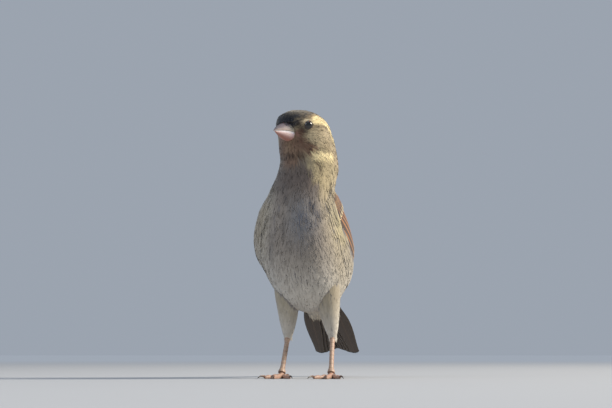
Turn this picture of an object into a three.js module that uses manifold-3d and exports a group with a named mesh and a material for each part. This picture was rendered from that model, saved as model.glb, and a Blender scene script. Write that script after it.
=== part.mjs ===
// House sparrow of the female type, life size, standing upright and alert with its head turned to
// its right. Millimetres, +Z up. The breast faces -Y and the bird's own left side is +X. The floor
// is at z = 0 and the origin is on it, under the middle of the model's box.
import * as THREE from "three";
import { mergeVertices } from "three/addons/utils/BufferGeometryUtils.js";
import Module from "manifold-3d";

const wasm = await Module();
wasm.setup();

// ---------- driving dimensions ----------

const gap = 0.3; // clear space between neighbouring solids
const facetTolerance = 0.008; // how far a solid's facets may stray when small ones are merged
const headTurn = 28; // degrees that the head is turned to the bird's right
const neckTwist = { from: 9.2, to: 12.4 }; // spine stations between which the head turns

// The body is a stack of egg-shaped sections along the spine. Each station has its place in side
// view, the pitch of the spine there, and the section's reach to the belly, back and side.
// aside is how far the section stands to the bird's left, as the neck leans that way.
// lead is how far the head's sections stand ahead of the neck, in the head's own direction, and
// taper is how much narrower a section gets towards its front.
const spineColumns = ["at", "forward", "height", "pitch", "belly", "back", "side", "aside", "lead", "taper"];
const spine = [
  ["tail, under the wing tips", -63, 22.6, 28, 3, 3.4, 8.4, 0, 0, 0],
  ["tail, middle coverts", -54.5, 27.2, 28, 3.4, 3.6, 8, 0, 0, 0],
  ["tail, upper coverts", -46, 31.8, 29, 4.4, 4, 7.8, 0, 0, 0],
  ["tail root", -37.5, 36.8, 32, 7.6, 5, 8.8, 0, 0, 0],
  ["rump", -29, 42.4, 37, 15, 8, 13.6, 0, 0, 0],
  ["vent", -20.5, 49.4, 42, 22.6, 11, 18.4, 0, 0, 0],
  ["belly", -12.4, 57.8, 48, 25, 13.2, 20.9, -0.7, 0, 0],
  ["lower breast", -5.6, 67.2, 55, 24.4, 14.3, 20.3, -1, 0, 0],
  ["breast", -0.4, 76.6, 63, 21.4, 14, 17.4, -0.6, 0, 0],
  ["shoulder", 2.8, 85.2, 72, 17.2, 13.2, 14.6, 0.3, 0, 0],
  ["neck root", 4.2, 92.6, 80, 14, 12.6, 13.9, 2.3, 0, 0.02],
  ["neck", 4.8, 99, 86, 12.7, 12.8, 13.4, 3.6, 0.2, 0.04],
  ["throat", 5, 104.2, 90, 12.1, 14, 13.5, 3, 1, 0.12],
  ["jaw", 5, 108.2, 90, 11.2, 14.8, 13.4, 2.7, 2.4, 0.22],
  ["cheek", 5, 111.5, 90, 11.3, 14.8, 12.9, 2.6, 3.6, 0.28],
].map((row) => Object.fromEntries(row.map((value, i) => [spineColumns[i], value])));
const stationOf = Object.fromEntries(spine.map((s, i) => [s.at, i]));
const cheekStation = stationOf.cheek;
// Above the cheeks the head is a dome: a superellipse from the cheek section up to the crown.
const dome = { height: 10.5, exponent: 2.3, lead: 3.2 };
const cuts = { tail: stationOf["tail root"], neck: 9.6, head: 11.7 }; // where the body is parted

const bill = {
  base: 8.2, // where its hidden root starts, ahead of the cheek section's middle
  tip: 19.8,
  gapeHeight: 110.9,
  tipHeight: 111.2,
  widthTaper: 1.4, // exponents of how the mandibles narrow and thin out towards the tip
  upper: { halfWidth: 4.5, height: 4.5, depthTaper: 1.9 },
  lower: { halfWidth: 4.2, height: 3.9, depthTaper: 2.3 },
  lowerSetback: 0.7, // the lower mandible's tip stands this far behind the upper one's
};
const eye = { climb: 0.13, angle: 61.5, sunk: 2.1, radius: 2.75 }; // climb is in stations above the cheeks

const tail = {
  length: 54,
  pitch: 28,
  halfRoot: 6.8,
  halfTip: 11.6,
  rootThick: 2.6,
  tipThick: 0.9,
  crown: 1.1, // how far the fan's middle stands above its edges at the tip
  notch: 3,
  corner: 2.6, // how much the outermost feathers' rounded tips fall short
  feathers: 12,
  covertShare: 0.42, // share of its length over which the coverts' bulk thins out
  stationLength: 10.4, // of the spine's stations behind the tail root
};

// The folded wing is laid on the body's sections: along runs from the bend of the wing to its tip,
// and low and high are its edges as angles round the section from the belly.
const wingBend = 9;
const wingTip = 1.5;
const wingLift = 0.4; // clear height of the wing's inner face over the body
const wingOutline = [
  { along: 0, low: 76, high: 82 },
  { along: 0.05, low: 66, high: 98 },
  { along: 0.15, low: 65, high: 120 },
  { along: 0.32, low: 71, high: 146 },
  { along: 0.5, low: 80, high: 160 },
  { along: 0.68, low: 93, high: 168 },
  { along: 0.84, low: 114, high: 172 },
  { along: 0.95, low: 143, high: 173 },
  { along: 1, low: 164, high: 172 },
];
const wingPanels = {
  coverts: { from: 0, to: 0.43, thick: 2.1, edge: 0.6, ridges: 0 },
  secondaries: { from: 0.44, to: 0.82, thick: 1.8, edge: 0.7, ridges: 5 },
  primaries: { from: 0.44, to: 1, thick: 1.3, edge: 0.6, ridges: 4 },
};

const leg = {
  footForward: -6.5,
  footAside: 11.6,
  jointHeight: 2.6,
  heel: { forward: -15.2, aside: 10.6, height: 19.8 },
  knee: { forward: -7, aside: 8.6, height: 47 },
  tarsus: { halfWidth: 1.05, halfDepth: 1.35, knob: 1.5 },
  thigh: { heelRadius: 2.1, kneeRadius: 8.2 },
};
const toes = [
  { name: "inner", turn: 32, length: 10.8, radius: 1.05, claw: 4.2 },
  { name: "middle", turn: 2, length: 14.2, radius: 1.15, claw: 4.8 },
  { name: "outer", turn: -30, length: 11.6, radius: 1, claw: 4 },
  { name: "hind", turn: 182, length: 8, radius: 1.2, claw: 6 },
];
const palmReach = 4; // from the foot's joint to where the toes start

const colours = {
  plumage: 0x8b7d6b,
  crown: 0x5d4f42,
  throat: 0x7d6f60,
  flight: 0x4a3a2c,
  coverts: 0x8a5a34,
  tail: 0x4c3d30,
  upperBill: 0xa89484,
  lowerBill: 0xd8b09e,
  eye: 0x140d0a,
  leg: 0xb98a72,
  claw: 0x3a2a22,
};

// ---------- helpers ----------

const radians = THREE.MathUtils.degToRad;
const mix = THREE.MathUtils.lerp;
const smooth = (x, from, to) => THREE.MathUtils.smoothstep(x, from, to);

function finish(colour, roughness = 0.85) {
  return new THREE.MeshStandardMaterial({ color: colour, roughness, metalness: 0 });
}

// A value between the rows of a table, on a Catmull-Rom curve through them.
function through(rows, key, at) {
  const last = rows.length - 1;
  const i = Math.min(Math.max(Math.floor(at), 0), last - 1);
  const w = at - i;
  const [a, b, c, d] = [i - 1, i, i + 1, i + 2].map((k) => rows[Math.min(Math.max(k, 0), last)][key]);
  return b + 0.5 * w * (c - a + w * (2 * a - 5 * b + 4 * c - d + w * (3 * (b - c) + d - a)));
}

// The same, for a table whose rows carry their own place along the curve.
function throughPlaces(rows, placeKey, key, place) {
  let i = 0;
  while (i < rows.length - 2 && rows[i + 1][placeKey] < place) i += 1;
  const w = (place - rows[i][placeKey]) / (rows[i + 1][placeKey] - rows[i][placeKey]);
  return through(rows, key, i + Math.min(Math.max(w, 0), 1));
}

// A closed geometry from rings of points: side walls between them and a fan at each end.
function loft(rings, startPoint = null, endPoint = null) {
  const around = rings[0].length;
  const middle = (ring) => ring.reduce((sum, p) => sum.add(p), new THREE.Vector3()).divideScalar(around);
  const points = [...rings.flat(), startPoint ?? middle(rings[0]), endPoint ?? middle(rings.at(-1))];
  const startIndex = points.length - 2;
  const endIndex = points.length - 1;
  const index = [];
  for (let r = 0; r < rings.length - 1; r += 1) {
    for (let k = 0; k < around; k += 1) {
      const next = (k + 1) % around;
      const [a, b] = [r * around + k, r * around + next];
      const [c, d] = [a + around, b + around];
      index.push(a, b, d, a, d, c);
    }
  }
  const lastRing = (rings.length - 1) * around;
  for (let k = 0; k < around; k += 1) {
    const next = (k + 1) % around;
    index.push(startIndex, next, k, endIndex, lastRing + k, lastRing + next);
  }
  return new THREE.BufferGeometry().setFromPoints(points).setIndex(index);
}

// A closed geometry from two layers of points, joined along their four edges. pointAt takes a row,
// a column and 1 for the outer layer or 0 for the inner one.
function plate(rows, columns, pointAt) {
  const points = [];
  for (const layer of [0, 1]) {
    for (let r = 0; r <= rows; r += 1) {
      for (let c = 0; c <= columns; c += 1) points.push(pointAt(r, c, layer));
    }
  }
  const id = (r, c, layer) => (layer * (rows + 1) + r) * (columns + 1) + c;
  const index = [];
  const quad = (a, b, c, d) => index.push(a, b, c, a, c, d);
  for (let r = 0; r < rows; r += 1) {
    for (let c = 0; c < columns; c += 1) {
      quad(id(r, c, 1), id(r, c + 1, 1), id(r + 1, c + 1, 1), id(r + 1, c, 1));
      quad(id(r, c, 0), id(r + 1, c, 0), id(r + 1, c + 1, 0), id(r, c + 1, 0));
    }
    quad(id(r, 0, 0), id(r, 0, 1), id(r + 1, 0, 1), id(r + 1, 0, 0));
    quad(id(r, columns, 1), id(r, columns, 0), id(r + 1, columns, 0), id(r + 1, columns, 1));
  }
  for (let c = 0; c < columns; c += 1) {
    quad(id(0, c, 1), id(0, c, 0), id(0, c + 1, 0), id(0, c + 1, 1));
    quad(id(rows, c, 0), id(rows, c, 1), id(rows, c + 1, 1), id(rows, c + 1, 0));
  }
  return new THREE.BufferGeometry().setFromPoints(points).setIndex(index);
}

// A manifold solid from a closed three.js geometry, turned right side out.
function solidOf(geometry) {
  const bare = geometry.clone();
  bare.deleteAttribute("normal");
  bare.deleteAttribute("uv");
  const merged = mergeVertices(bare, 1e-4);
  const index = merged.index.array;
  const kept = [];
  for (let i = 0; i < index.length; i += 3) {
    const [a, b, c] = index.slice(i, i + 3);
    if (a !== b && b !== c && c !== a) kept.push(a, b, c);
  }
  const build = (triVerts) =>
    new wasm.Manifold(
      new wasm.Mesh({
        numProp: 3,
        vertProperties: merged.attributes.position.array,
        triVerts: new Uint32Array(triVerts),
      }),
    );
  const made = build(kept);
  return made.volume() > 0 ? made : build(kept.reverse());
}

function largestPiece(solid) {
  const pieces = solid.decompose();
  return pieces.reduce((best, piece) => (piece.volume() > best.volume() ? piece : best));
}

const bird = new THREE.Group();

// Adds a solid to the bird as a named mesh.
function addNode(name, solid, material) {
  const made = largestPiece(solid.simplify(facetTolerance)).getMesh();
  const positions = new Float32Array(made.numVert * 3);
  for (let i = 0; i < made.numVert; i += 1) {
    const start = i * made.numProp;
    positions.set(made.vertProperties.subarray(start, start + 3), i * 3);
  }
  const geometry = new THREE.BufferGeometry()
    .setAttribute("position", new THREE.BufferAttribute(positions, 3))
    .setIndex(new THREE.BufferAttribute(made.triVerts, 1));
  geometry.computeVertexNormals();
  const mesh = new THREE.Mesh(geometry, material);
  mesh.name = name;
  bird.add(mesh);
  return mesh;
}

// ---------- the body's surface ----------

const up = new THREE.Vector3(0, 0, 1);

function directions(turnDegrees) {
  const turn = radians(turnDegrees);
  return {
    ahead: new THREE.Vector3(-Math.sin(turn), -Math.cos(turn), 0),
    left: new THREE.Vector3(Math.cos(turn), -Math.sin(turn), 0),
  };
}

// The section at a station: its middle, its axes and its reaches. Stations past the cheeks climb
// the dome, where one whole step reaches the crown.
function section(station) {
  const onSpine = Math.min(station, cheekStation);
  const climb = radians(90 * Math.max(0, station - cheekStation));
  const share = 2 / dome.exponent;
  const rise = Math.sin(climb) ** share;
  const shrink = Math.max(Math.cos(climb), 0) ** share;
  const { ahead, left } = directions(headTurn * smooth(onSpine, neckTwist.from, neckTwist.to));
  const pitch = radians(through(spine, "pitch", onSpine));
  const belly = ahead
    .clone()
    .multiplyScalar(Math.sin(pitch))
    .addScaledVector(up, -Math.cos(pitch));
  const middle = new THREE.Vector3(through(spine, "aside", onSpine), -through(spine, "forward", onSpine), 0)
    .addScaledVector(up, through(spine, "height", onSpine))
    .addScaledVector(ahead, through(spine, "lead", onSpine) + dome.lead * rise)
    .addScaledVector(up, dome.height * rise);
  const reach = (key) => through(spine, key, onSpine) * shrink;
  const reaches = { belly: reach("belly"), back: reach("back"), side: reach("side") };
  return { middle, belly, left, reaches, taper: through(spine, "taper", onSpine) };
}

// A point on the body: angle 0 is the middle of the belly, 90 the bird's left and 180 the back.
function bodyPoint(station, angle, offset = 0) {
  const { middle, belly, left, reaches, taper } = section(station);
  const c = Math.cos(radians(angle));
  const s = Math.sin(radians(angle));
  const deep = ((c > 0 ? reaches.belly : reaches.back) + offset) * c;
  const wide = (reaches.side * (1 - taper * Math.max(c, 0)) + offset) * s;
  return middle.addScaledVector(belly, deep).addScaledVector(left, wide);
}

function bodyRing(station, around, offset = 0) {
  return Array.from({ length: around }, (_, k) => bodyPoint(station, (360 * k) / around, offset));
}

// The body between two stations, as one closed solid. Past the cheeks it closes at the crown.
function bodyPart(from, to, rows, around, offset = 0) {
  const last = Math.min(to, cheekStation);
  const ringAt = (share) => bodyRing(mix(from, last, share), around, offset);
  const rings = Array.from({ length: rows + 1 }, (_, r) => ringAt(r / rows));
  if (to <= cheekStation) return solidOf(loft(rings));
  const domeRows = 7;
  for (let r = 1; r < domeRows; r += 1) rings.push(bodyRing(cheekStation + r / domeRows, around, offset));
  const crown = section(cheekStation + 1).middle.addScaledVector(up, offset);
  return solidOf(loft(rings, null, crown));
}

// ---------- head ----------

const headFrame = directions(headTurn);
const headMiddle = section(cheekStation).middle;

// A point in the head's own frame: ahead of the cheek section's middle, to its left, and at a height.
function headPoint(ahead, left, height) {
  return new THREE.Vector3(headMiddle.x, headMiddle.y, height)
    .addScaledVector(headFrame.ahead, ahead)
    .addScaledVector(headFrame.left, left);
}

// One mandible: half-round sections from its root to its tip. side is 1 for the upper, -1 for the lower.
function mandible(size, side, tip) {
  const rows = 7;
  const arc = 8;
  const ring = (share) => {
    const ahead = mix(bill.base, tip, share);
    const blunt = 0.02; // keeps the last ring open
    const edgeHeight = mix(bill.gapeHeight, bill.tipHeight, share) + 0.35 * Math.sin(Math.PI * share);
    const edge = edgeHeight + side * (gap / 2);
    const halfWidth = size.halfWidth * (1 - share ** bill.widthTaper + blunt);
    const height = size.height * (1 - share ** size.depthTaper + blunt);
    const points = Array.from({ length: arc + 1 }, (_, k) => {
      const angle = Math.PI * (k / arc);
      const across = Math.cos(angle) * halfWidth;
      return headPoint(ahead, across, edge + side * height * Math.sin(angle) ** 0.85);
    });
    return side > 0 ? points : points.reverse();
  };
  const rings = Array.from({ length: rows }, (_, r) => ring(r / rows));
  return solidOf(loft(rings, null, headPoint(tip, 0, bill.tipHeight + side * gap * 0.6)));
}

function eyeball(sideSign, radius) {
  const centre = bodyPoint(cheekStation + eye.climb, sideSign * eye.angle, -eye.sunk);
  return solidOf(new THREE.SphereGeometry(radius, 14, 8)).translate(centre.x, centre.y, centre.z);
}

function addHead() {
  const upper = mandible(bill.upper, 1, bill.tip);
  const lower = mandible(bill.lower, -1, bill.tip - bill.lowerSetback);
  const headPart = (offset) => bodyPart(cuts.head, cheekStation + 1, 6, 34, offset);
  const nearHead = headPart(gap);
  addNode("bill_upper", upper.subtract(nearHead), finish(colours.upperBill, 0.45));
  addNode("bill_lower", lower.subtract(nearHead), finish(colours.lowerBill, 0.45));
  let head = headPart(0);
  for (const [side, sign] of [["left", 1], ["right", -1]]) {
    head = head.subtract(eyeball(sign, eye.radius + gap));
    addNode("eye_" + side, eyeball(sign, eye.radius), finish(colours.eye, 0.08));
  }
  addNode("head", head, finish(colours.crown));
}

// ---------- trunk, neck and tail ----------

const seam = gap / 16; // half of a thin cut, in stations
const trunkPart = (offset = 0) => bodyPart(cuts.tail, cuts.neck - seam, 14, 34, offset);

function addTrunk() {
  addNode("neck", bodyPart(cuts.neck + seam, cuts.head - 2 * seam, 4, 30), finish(colours.throat));
  addNode("trunk", trunkPart(), finish(colours.plumage));
}

// The tail: twelve feathers in a flat fan with a shallow notch, under coverts that thin out from
// the tail root. The coverts' bulk is the body's own, which runs on along the spine.
function addTail() {
  const rows = 9;
  const across = 2 * tail.feathers;
  const pitch = radians(tail.pitch);
  const along = new THREE.Vector3(0, Math.cos(pitch), -Math.sin(pitch));
  const above = new THREE.Vector3(0, Math.sin(pitch), Math.cos(pitch));
  const root = section(cuts.tail).middle;
  const fanPoint = (share, x, side) => {
    const corner = Math.max(0, Math.abs(x) - 0.7) / 0.3;
    const length = tail.length - tail.notch * (1 - Math.abs(x) ** 1.3) - tail.corner * corner ** 2.5;
    const ridge = 0.85 + 0.15 * Math.abs(Math.sin((tail.feathers * Math.PI * (x + 1)) / 4));
    const lens = Math.max(Math.sqrt(Math.sqrt(1 - x * x)) * ridge, 0.55);
    const thick = mix(tail.rootThick, tail.tipThick, share);
    const point = root
      .clone()
      .addScaledVector(along, share * length)
      .addScaledVector(above, side * thick * 0.5 * lens + tail.crown * (1 - x * x) * share);
    point.x += mix(tail.halfRoot, tail.halfTip, share ** 0.8) * x;
    return point;
  };
  const pointAt = (r, c, upper) => {
    const share = r / rows;
    const turn = (180 * c) / across;
    const side = upper ? 1 : -1;
    const station = cuts.tail - (share * tail.length) / tail.stationLength - gap / 10;
    const fan = fanPoint(share, Math.cos(radians(turn)), side);
    return bodyPoint(station, 90 + side * turn).lerp(fan, smooth(share, 0, tail.covertShare));
  };
  addNode("tail", solidOf(plate(rows, across, pointAt)), finish(colours.tail));
}

// ---------- wings ----------

const wingStation = (along) => mix(wingBend, wingTip, along);
const lowEdge = (along) => throughPlaces(wingOutline, "along", "low", along);
const highEdge = (along) => throughPlaces(wingOutline, "along", "high", along);

// The line between the secondaries above and the primaries below it, as an angle.
function partingEdge(along) {
  const { from, to } = wingPanels.secondaries;
  const share = Math.min(Math.max((along - from) / (to - from), 0), 1);
  return mix(lowEdge(along) + 14, highEdge(along) - 3, share ** 1.6);
}

const panelEdges = {
  coverts: { low: lowEdge, high: highEdge },
  secondaries: { low: (along) => partingEdge(along) + 1.2, high: highEdge },
  primaries: {
    low: lowEdge,
    high: (along) => (along < wingPanels.secondaries.to ? partingEdge(along) - 1.2 : highEdge(along)),
  },
};

function wingPanel(name, sign) {
  const panel = wingPanels[name];
  const edges = panelEdges[name];
  const rows = Math.round(18 * (panel.to - panel.from)) + 2;
  const across = panel.ridges ? 2 * panel.ridges : 7;
  const pointAt = (r, c, outer) => {
    const along = mix(panel.from, panel.to, r / rows);
    const x = c / across;
    const atEnds = Math.sqrt(Math.sin(Math.PI * mix(0.06, 0.94, r / rows)));
    const arch = Math.sqrt(Math.sin(Math.PI * mix(0.05, 0.95, x))) * atEnds;
    const ridge = 1 - (panel.ridges ? 0.14 * Math.abs(Math.cos(Math.PI * panel.ridges * x)) : 0);
    const thickness = panel.edge + (panel.thick - panel.edge) * arch * ridge;
    const angle = sign * mix(edges.low(along), edges.high(along), x);
    return bodyPoint(wingStation(along), angle, wingLift + outer * thickness);
  };
  return solidOf(plate(rows, across, pointAt));
}

function addWings() {
  for (const [side, sign] of [["left", 1], ["right", -1]]) {
    for (const name of Object.keys(wingPanels)) {
      const colour = name === "coverts" ? colours.coverts : colours.flight;
      addNode("wing_" + side + "_" + name, wingPanel(name, sign), finish(colour));
    }
  }
}

// ---------- legs ----------

const place = ({ forward, aside, height }, sign) => new THREE.Vector3(sign * aside, -forward, height);

// A tube along a straight line, with its own half sizes at each share of the way.
function limb(from, to, sizeAt, rows, around) {
  const axis = to.clone().sub(from).normalize();
  const across = new THREE.Vector3(1, 0, 0).addScaledVector(axis, -axis.x).normalize();
  const deep = axis.clone().cross(across);
  const rings = Array.from({ length: rows + 1 }, (_, r) => {
    const share = r / rows;
    const { wide, thick, shift = 0 } = sizeAt(share);
    const middle = from.clone().lerp(to, share).addScaledVector(deep, shift);
    return Array.from({ length: around }, (_, k) => {
      const angle = (2 * Math.PI * k) / around;
      return middle
        .clone()
        .addScaledVector(across, wide * Math.cos(angle))
        .addScaledVector(deep, thick * Math.sin(angle));
    });
  });
  return solidOf(loft(rings));
}

// The bare shank with a swelling at the heel and at the foot's joint.
function tarsus(sign, grown = 0) {
  const foot = place({ forward: leg.footForward, aside: leg.footAside, height: leg.jointHeight }, sign);
  const heel = place(leg.heel, sign);
  return limb(
    foot,
    heel,
    (share) => {
      const footKnob = Math.exp(-((share / 0.1) ** 2));
      const heelKnob = 0.55 * Math.exp(-(((1 - share) / 0.12) ** 2));
      const knob = leg.tarsus.knob * (footKnob + heelKnob);
      return {
        wide: leg.tarsus.halfWidth + 0.45 * knob + grown,
        thick: leg.tarsus.halfDepth + 0.45 * knob + grown,
      };
    },
    9,
    10,
  );
}

// The feathered thigh, from the heel up into the belly.
function thigh(sign) {
  return limb(
    place(leg.heel, sign),
    place(leg.knee, sign),
    (share) => {
      const radius = mix(leg.thigh.heelRadius, leg.thigh.kneeRadius, share ** 0.75);
      return { wide: radius * 0.92, thick: radius * 1.05 };
    },
    6,
    14,
  );
}

// A toe lies on the floor: its sections are round above and flat below, with a pad at each joint.
function toe(sign, { turn, length, radius }) {
  const heading = directions(-sign * turn).ahead;
  const aside = new THREE.Vector3(-heading.y, heading.x, 0);
  const joint = place({ forward: leg.footForward, aside: leg.footAside, height: 0 }, sign);
  const rows = 7;
  const around = 8;
  const rings = Array.from({ length: rows + 1 }, (_, r) => {
    const share = r / rows;
    const pad = 1 + 0.13 * Math.cos(2 * Math.PI * 2.5 * share);
    const size = radius * mix(1, 0.74, share) * pad;
    const middle = joint
      .clone()
      .addScaledVector(heading, palmReach + gap + share * (length - palmReach))
      .addScaledVector(up, size * 0.82);
    return Array.from({ length: around }, (_, k) => {
      const angle = (2 * Math.PI * (k + 0.5)) / around;
      const point = middle
        .clone()
        .addScaledVector(aside, 0.9 * size * Math.cos(angle))
        .addScaledVector(up, size * Math.sin(angle));
      point.z = Math.max(point.z, 0);
      return point;
    });
  });
  return solidOf(loft(rings));
}

// A claw: an arch of round sections that runs out of the toe's end and down to the floor.
function claw(sign, { turn, length, radius, claw: reach }) {
  const heading = directions(-sign * turn).ahead;
  const aside = new THREE.Vector3(-heading.y, heading.x, 0);
  const start = place({ forward: leg.footForward, aside: leg.footAside, height: radius * 0.72 }, sign);
  start.addScaledVector(heading, length + 2 * gap);
  const rows = 4;
  const around = 6;
  const arc = new THREE.QuadraticBezierCurve3(
    start,
    start.clone().addScaledVector(heading, reach * 0.6).addScaledVector(up, reach * 0.22),
    start.clone().addScaledVector(heading, reach).setZ(0.32),
  );
  const rings = Array.from({ length: rows }, (_, r) => {
    const share = r / rows;
    const tangent = arc.getTangent(share);
    const over = aside.clone().cross(tangent).normalize();
    const size = mix(radius * 0.6, 0.24, share);
    return Array.from({ length: around }, (_, k) => {
      const angle = (2 * Math.PI * k) / around;
      const point = arc
        .getPoint(share)
        .addScaledVector(aside, 0.8 * size * Math.cos(angle))
        .addScaledVector(over, size * Math.sin(angle));
      point.z = Math.max(point.z, 0.05);
      return point;
    });
  });
  return solidOf(loft(rings, null, arc.getPoint(1)));
}

// The palm joins the shank to its toes, flat on the floor.
function palm(sign) {
  const joint = place({ forward: leg.footForward, aside: leg.footAside, height: 0 }, sign);
  const profile = [
    [0, 0],
    [2.2, 0],
    [2.6, 0.7],
    [2.3, 1.7],
    [1.5, 2.6],
    [0, 3],
  ].map(([x, y]) => new THREE.Vector2(x, y));
  const body = solidOf(new THREE.LatheGeometry(profile, 14).rotateX(Math.PI / 2));
  const lobes = toes.map(({ turn, radius }) => {
    const heading = directions(-sign * turn).ahead;
    const side = new THREE.Vector3(-heading.y, heading.x, 0);
    const rings = [0.6, palmReach - 0.6, palmReach].map((reach) =>
      Array.from({ length: 8 }, (_, k) => {
        const angle = (2 * Math.PI * (k + 0.5)) / 8;
        const size = radius * (reach < palmReach ? 1.02 : 0.94);
        const point = new THREE.Vector3()
          .addScaledVector(heading, reach)
          .addScaledVector(side, 0.86 * size * Math.cos(angle))
          .addScaledVector(up, size * (0.82 + Math.sin(angle)));
        point.z = Math.max(point.z, 0);
        return point;
      }),
    );
    return solidOf(loft(rings));
  });
  return lobes.reduce((sum, lobe) => sum.add(lobe), body).translate(joint.x, joint.y, 0);
}

function addLegs() {
  const nearTrunk = trunkPart(gap);
  for (const [side, sign] of [["left", 1], ["right", -1]]) {
    const upperLeg = thigh(sign).subtract(nearTrunk).subtract(tarsus(sign, gap));
    addNode("thigh_" + side, upperLeg, finish(colours.plumage));
    addNode("tarsus_" + side, tarsus(sign).add(palm(sign)), finish(colours.leg, 0.55));
    for (const digit of toes) {
      addNode("toe_" + side + "_" + digit.name, toe(sign, digit), finish(colours.leg, 0.55));
      addNode("claw_" + side + "_" + digit.name, claw(sign, digit), finish(colours.claw, 0.35));
    }
  }
}

// ---------- the whole bird ----------

addHead();
addTrunk();
addTail();
addWings();
addLegs();

// The origin goes on the floor under the middle of the model's box.
const box = new THREE.Box3().setFromObject(bird, true);
const centre = box.getCenter(new THREE.Vector3());
bird.position.set(-centre.x, -centre.y, -box.min.z);

export default bird;
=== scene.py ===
# House sparrow of the female type: skin, eyes, bill, legs, and a coat of separate solid feathers,
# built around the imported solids. Shapes are worked out in millimetres in the solids' own drawing
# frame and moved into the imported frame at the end.
import math

import bpy
import numpy as np
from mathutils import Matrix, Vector
from mathutils.bvhtree import BVHTree
from mathutils.kdtree import KDTree


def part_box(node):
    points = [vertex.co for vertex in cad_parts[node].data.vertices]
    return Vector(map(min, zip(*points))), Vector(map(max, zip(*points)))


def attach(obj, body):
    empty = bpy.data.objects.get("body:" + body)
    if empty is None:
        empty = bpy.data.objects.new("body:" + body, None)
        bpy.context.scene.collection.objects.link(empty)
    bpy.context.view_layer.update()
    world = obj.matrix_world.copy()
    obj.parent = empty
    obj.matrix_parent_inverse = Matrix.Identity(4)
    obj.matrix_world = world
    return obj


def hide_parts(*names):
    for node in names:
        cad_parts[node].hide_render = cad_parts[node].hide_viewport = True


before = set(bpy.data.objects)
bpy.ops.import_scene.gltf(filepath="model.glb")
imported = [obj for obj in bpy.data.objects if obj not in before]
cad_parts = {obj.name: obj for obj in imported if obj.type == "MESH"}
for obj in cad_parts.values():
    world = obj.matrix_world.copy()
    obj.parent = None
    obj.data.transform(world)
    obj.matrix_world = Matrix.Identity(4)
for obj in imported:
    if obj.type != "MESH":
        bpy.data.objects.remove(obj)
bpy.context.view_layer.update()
mm = 0.001
luck = np.random.default_rng(2971)
bothSides = ((1, "left"), (-1, "right"))


# Shape helpers. smooth is 0 below low and 1 above high, with a soft step between them.
def smooth(x, low, high):
    t = np.clip((x - low) / (high - low), 0, 1)
    return t * t * (3 - 2 * t)


def mix(a, b, t):
    return a + (b - a) * t


def unit(v):
    return v / np.maximum(np.linalg.norm(v, axis=-1, keepdims=True), 1e-12)


def dot(a, b):
    return np.sum(a * b, axis=-1, keepdims=True)


def vec(*parts):
    return np.stack(np.broadcast_arrays(*parts), axis=-1).astype(float)


# The cosine and the sine of an angle in degrees.
def cosSin(degrees):
    return np.cos(np.radians(degrees)), np.sin(np.radians(degrees))


# All pairs of rows and columns, as two grids.
def crossed(rows, columns):
    return np.meshgrid(rows, columns, indexing="ij")


# A Catmull-Rom curve through equally spaced rows of values, read at any place along it.
def through(values, at):
    last = len(values) - 1
    i = np.clip(np.floor(at).astype(int), 0, last - 1)
    w = (at - i)[..., None]
    a, b, c, d = (values[np.clip(i + k, 0, last)] for k in (-1, 0, 1, 2))
    return b + 0.5 * w * (c - a + w * (2 * a - 5 * b + 4 * c - d + w * (3 * (b - c) + d - a)))


# The body's egg-shaped sections: forward, height, pitch, reach to belly, back and side, aside,
# lead of the head and taper towards the front. The same sections as the solids have.
spine = {
    "tail, under the wing tips": (-63, 22.6, 28, 3, 3.4, 8.4, 0, 0, 0),
    "tail, middle coverts": (-54.5, 27.2, 28, 3.4, 3.6, 8, 0, 0, 0),
    "tail, upper coverts": (-46, 31.8, 29, 4.4, 4, 7.8, 0, 0, 0),
    "tail root": (-37.5, 36.8, 32, 7.6, 5, 8.8, 0, 0, 0),
    "rump": (-29, 42.4, 37, 15, 8, 13.6, 0, 0, 0),
    "vent": (-20.5, 49.4, 42, 22.6, 11, 18.4, 0, 0, 0),
    "belly": (-12.4, 57.8, 48, 25, 13.2, 20.9, -0.7, 0, 0),
    "lower breast": (-5.6, 67.2, 55, 24.4, 14.3, 20.3, -1, 0, 0),
    "breast": (-0.4, 76.6, 63, 21.4, 14, 17.4, -0.6, 0, 0),
    "shoulder": (2.8, 85.2, 72, 17.2, 13.2, 14.6, 0.3, 0, 0),
    "neck root": (4.2, 92.6, 80, 14, 12.6, 13.9, 2.3, 0, 0.02),
    "neck": (4.8, 99, 86, 12.7, 12.8, 13.4, 3.6, 0.2, 0.04),
    "throat": (5, 104.2, 90, 12.1, 14, 13.5, 3, 1, 0.12),
    "jaw": (5, 108.2, 90, 11.2, 14.8, 13.4, 2.7, 2.4, 0.22),
    "cheek": (5, 111.5, 90, 11.3, 14.8, 12.9, 2.6, 3.6, 0.28),
}
sections = np.array(list(spine.values()), float)
cheek = len(sections) - 1
head = {"turn": 28, "twistFrom": 9.2, "twistTo": 12.4, "domeHeight": 10.5, "domePower": 2.3, "domeLead": 3.2}
wing = {
    "bend": 9, "tip": 1.5, "bulk": 2.1,
    "along": (0, 0.05, 0.15, 0.32, 0.5, 0.68, 0.84, 0.95, 1),
    "low": (76, 66, 65, 71, 80, 93, 114, 143, 164),
    "high": (82, 98, 120, 146, 160, 168, 172, 173, 172),
}
eye = {"climb": 0.13, "angle": 61.5, "sunk": 2.1, "radius": 2.75, "clear": 1.75}


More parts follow.
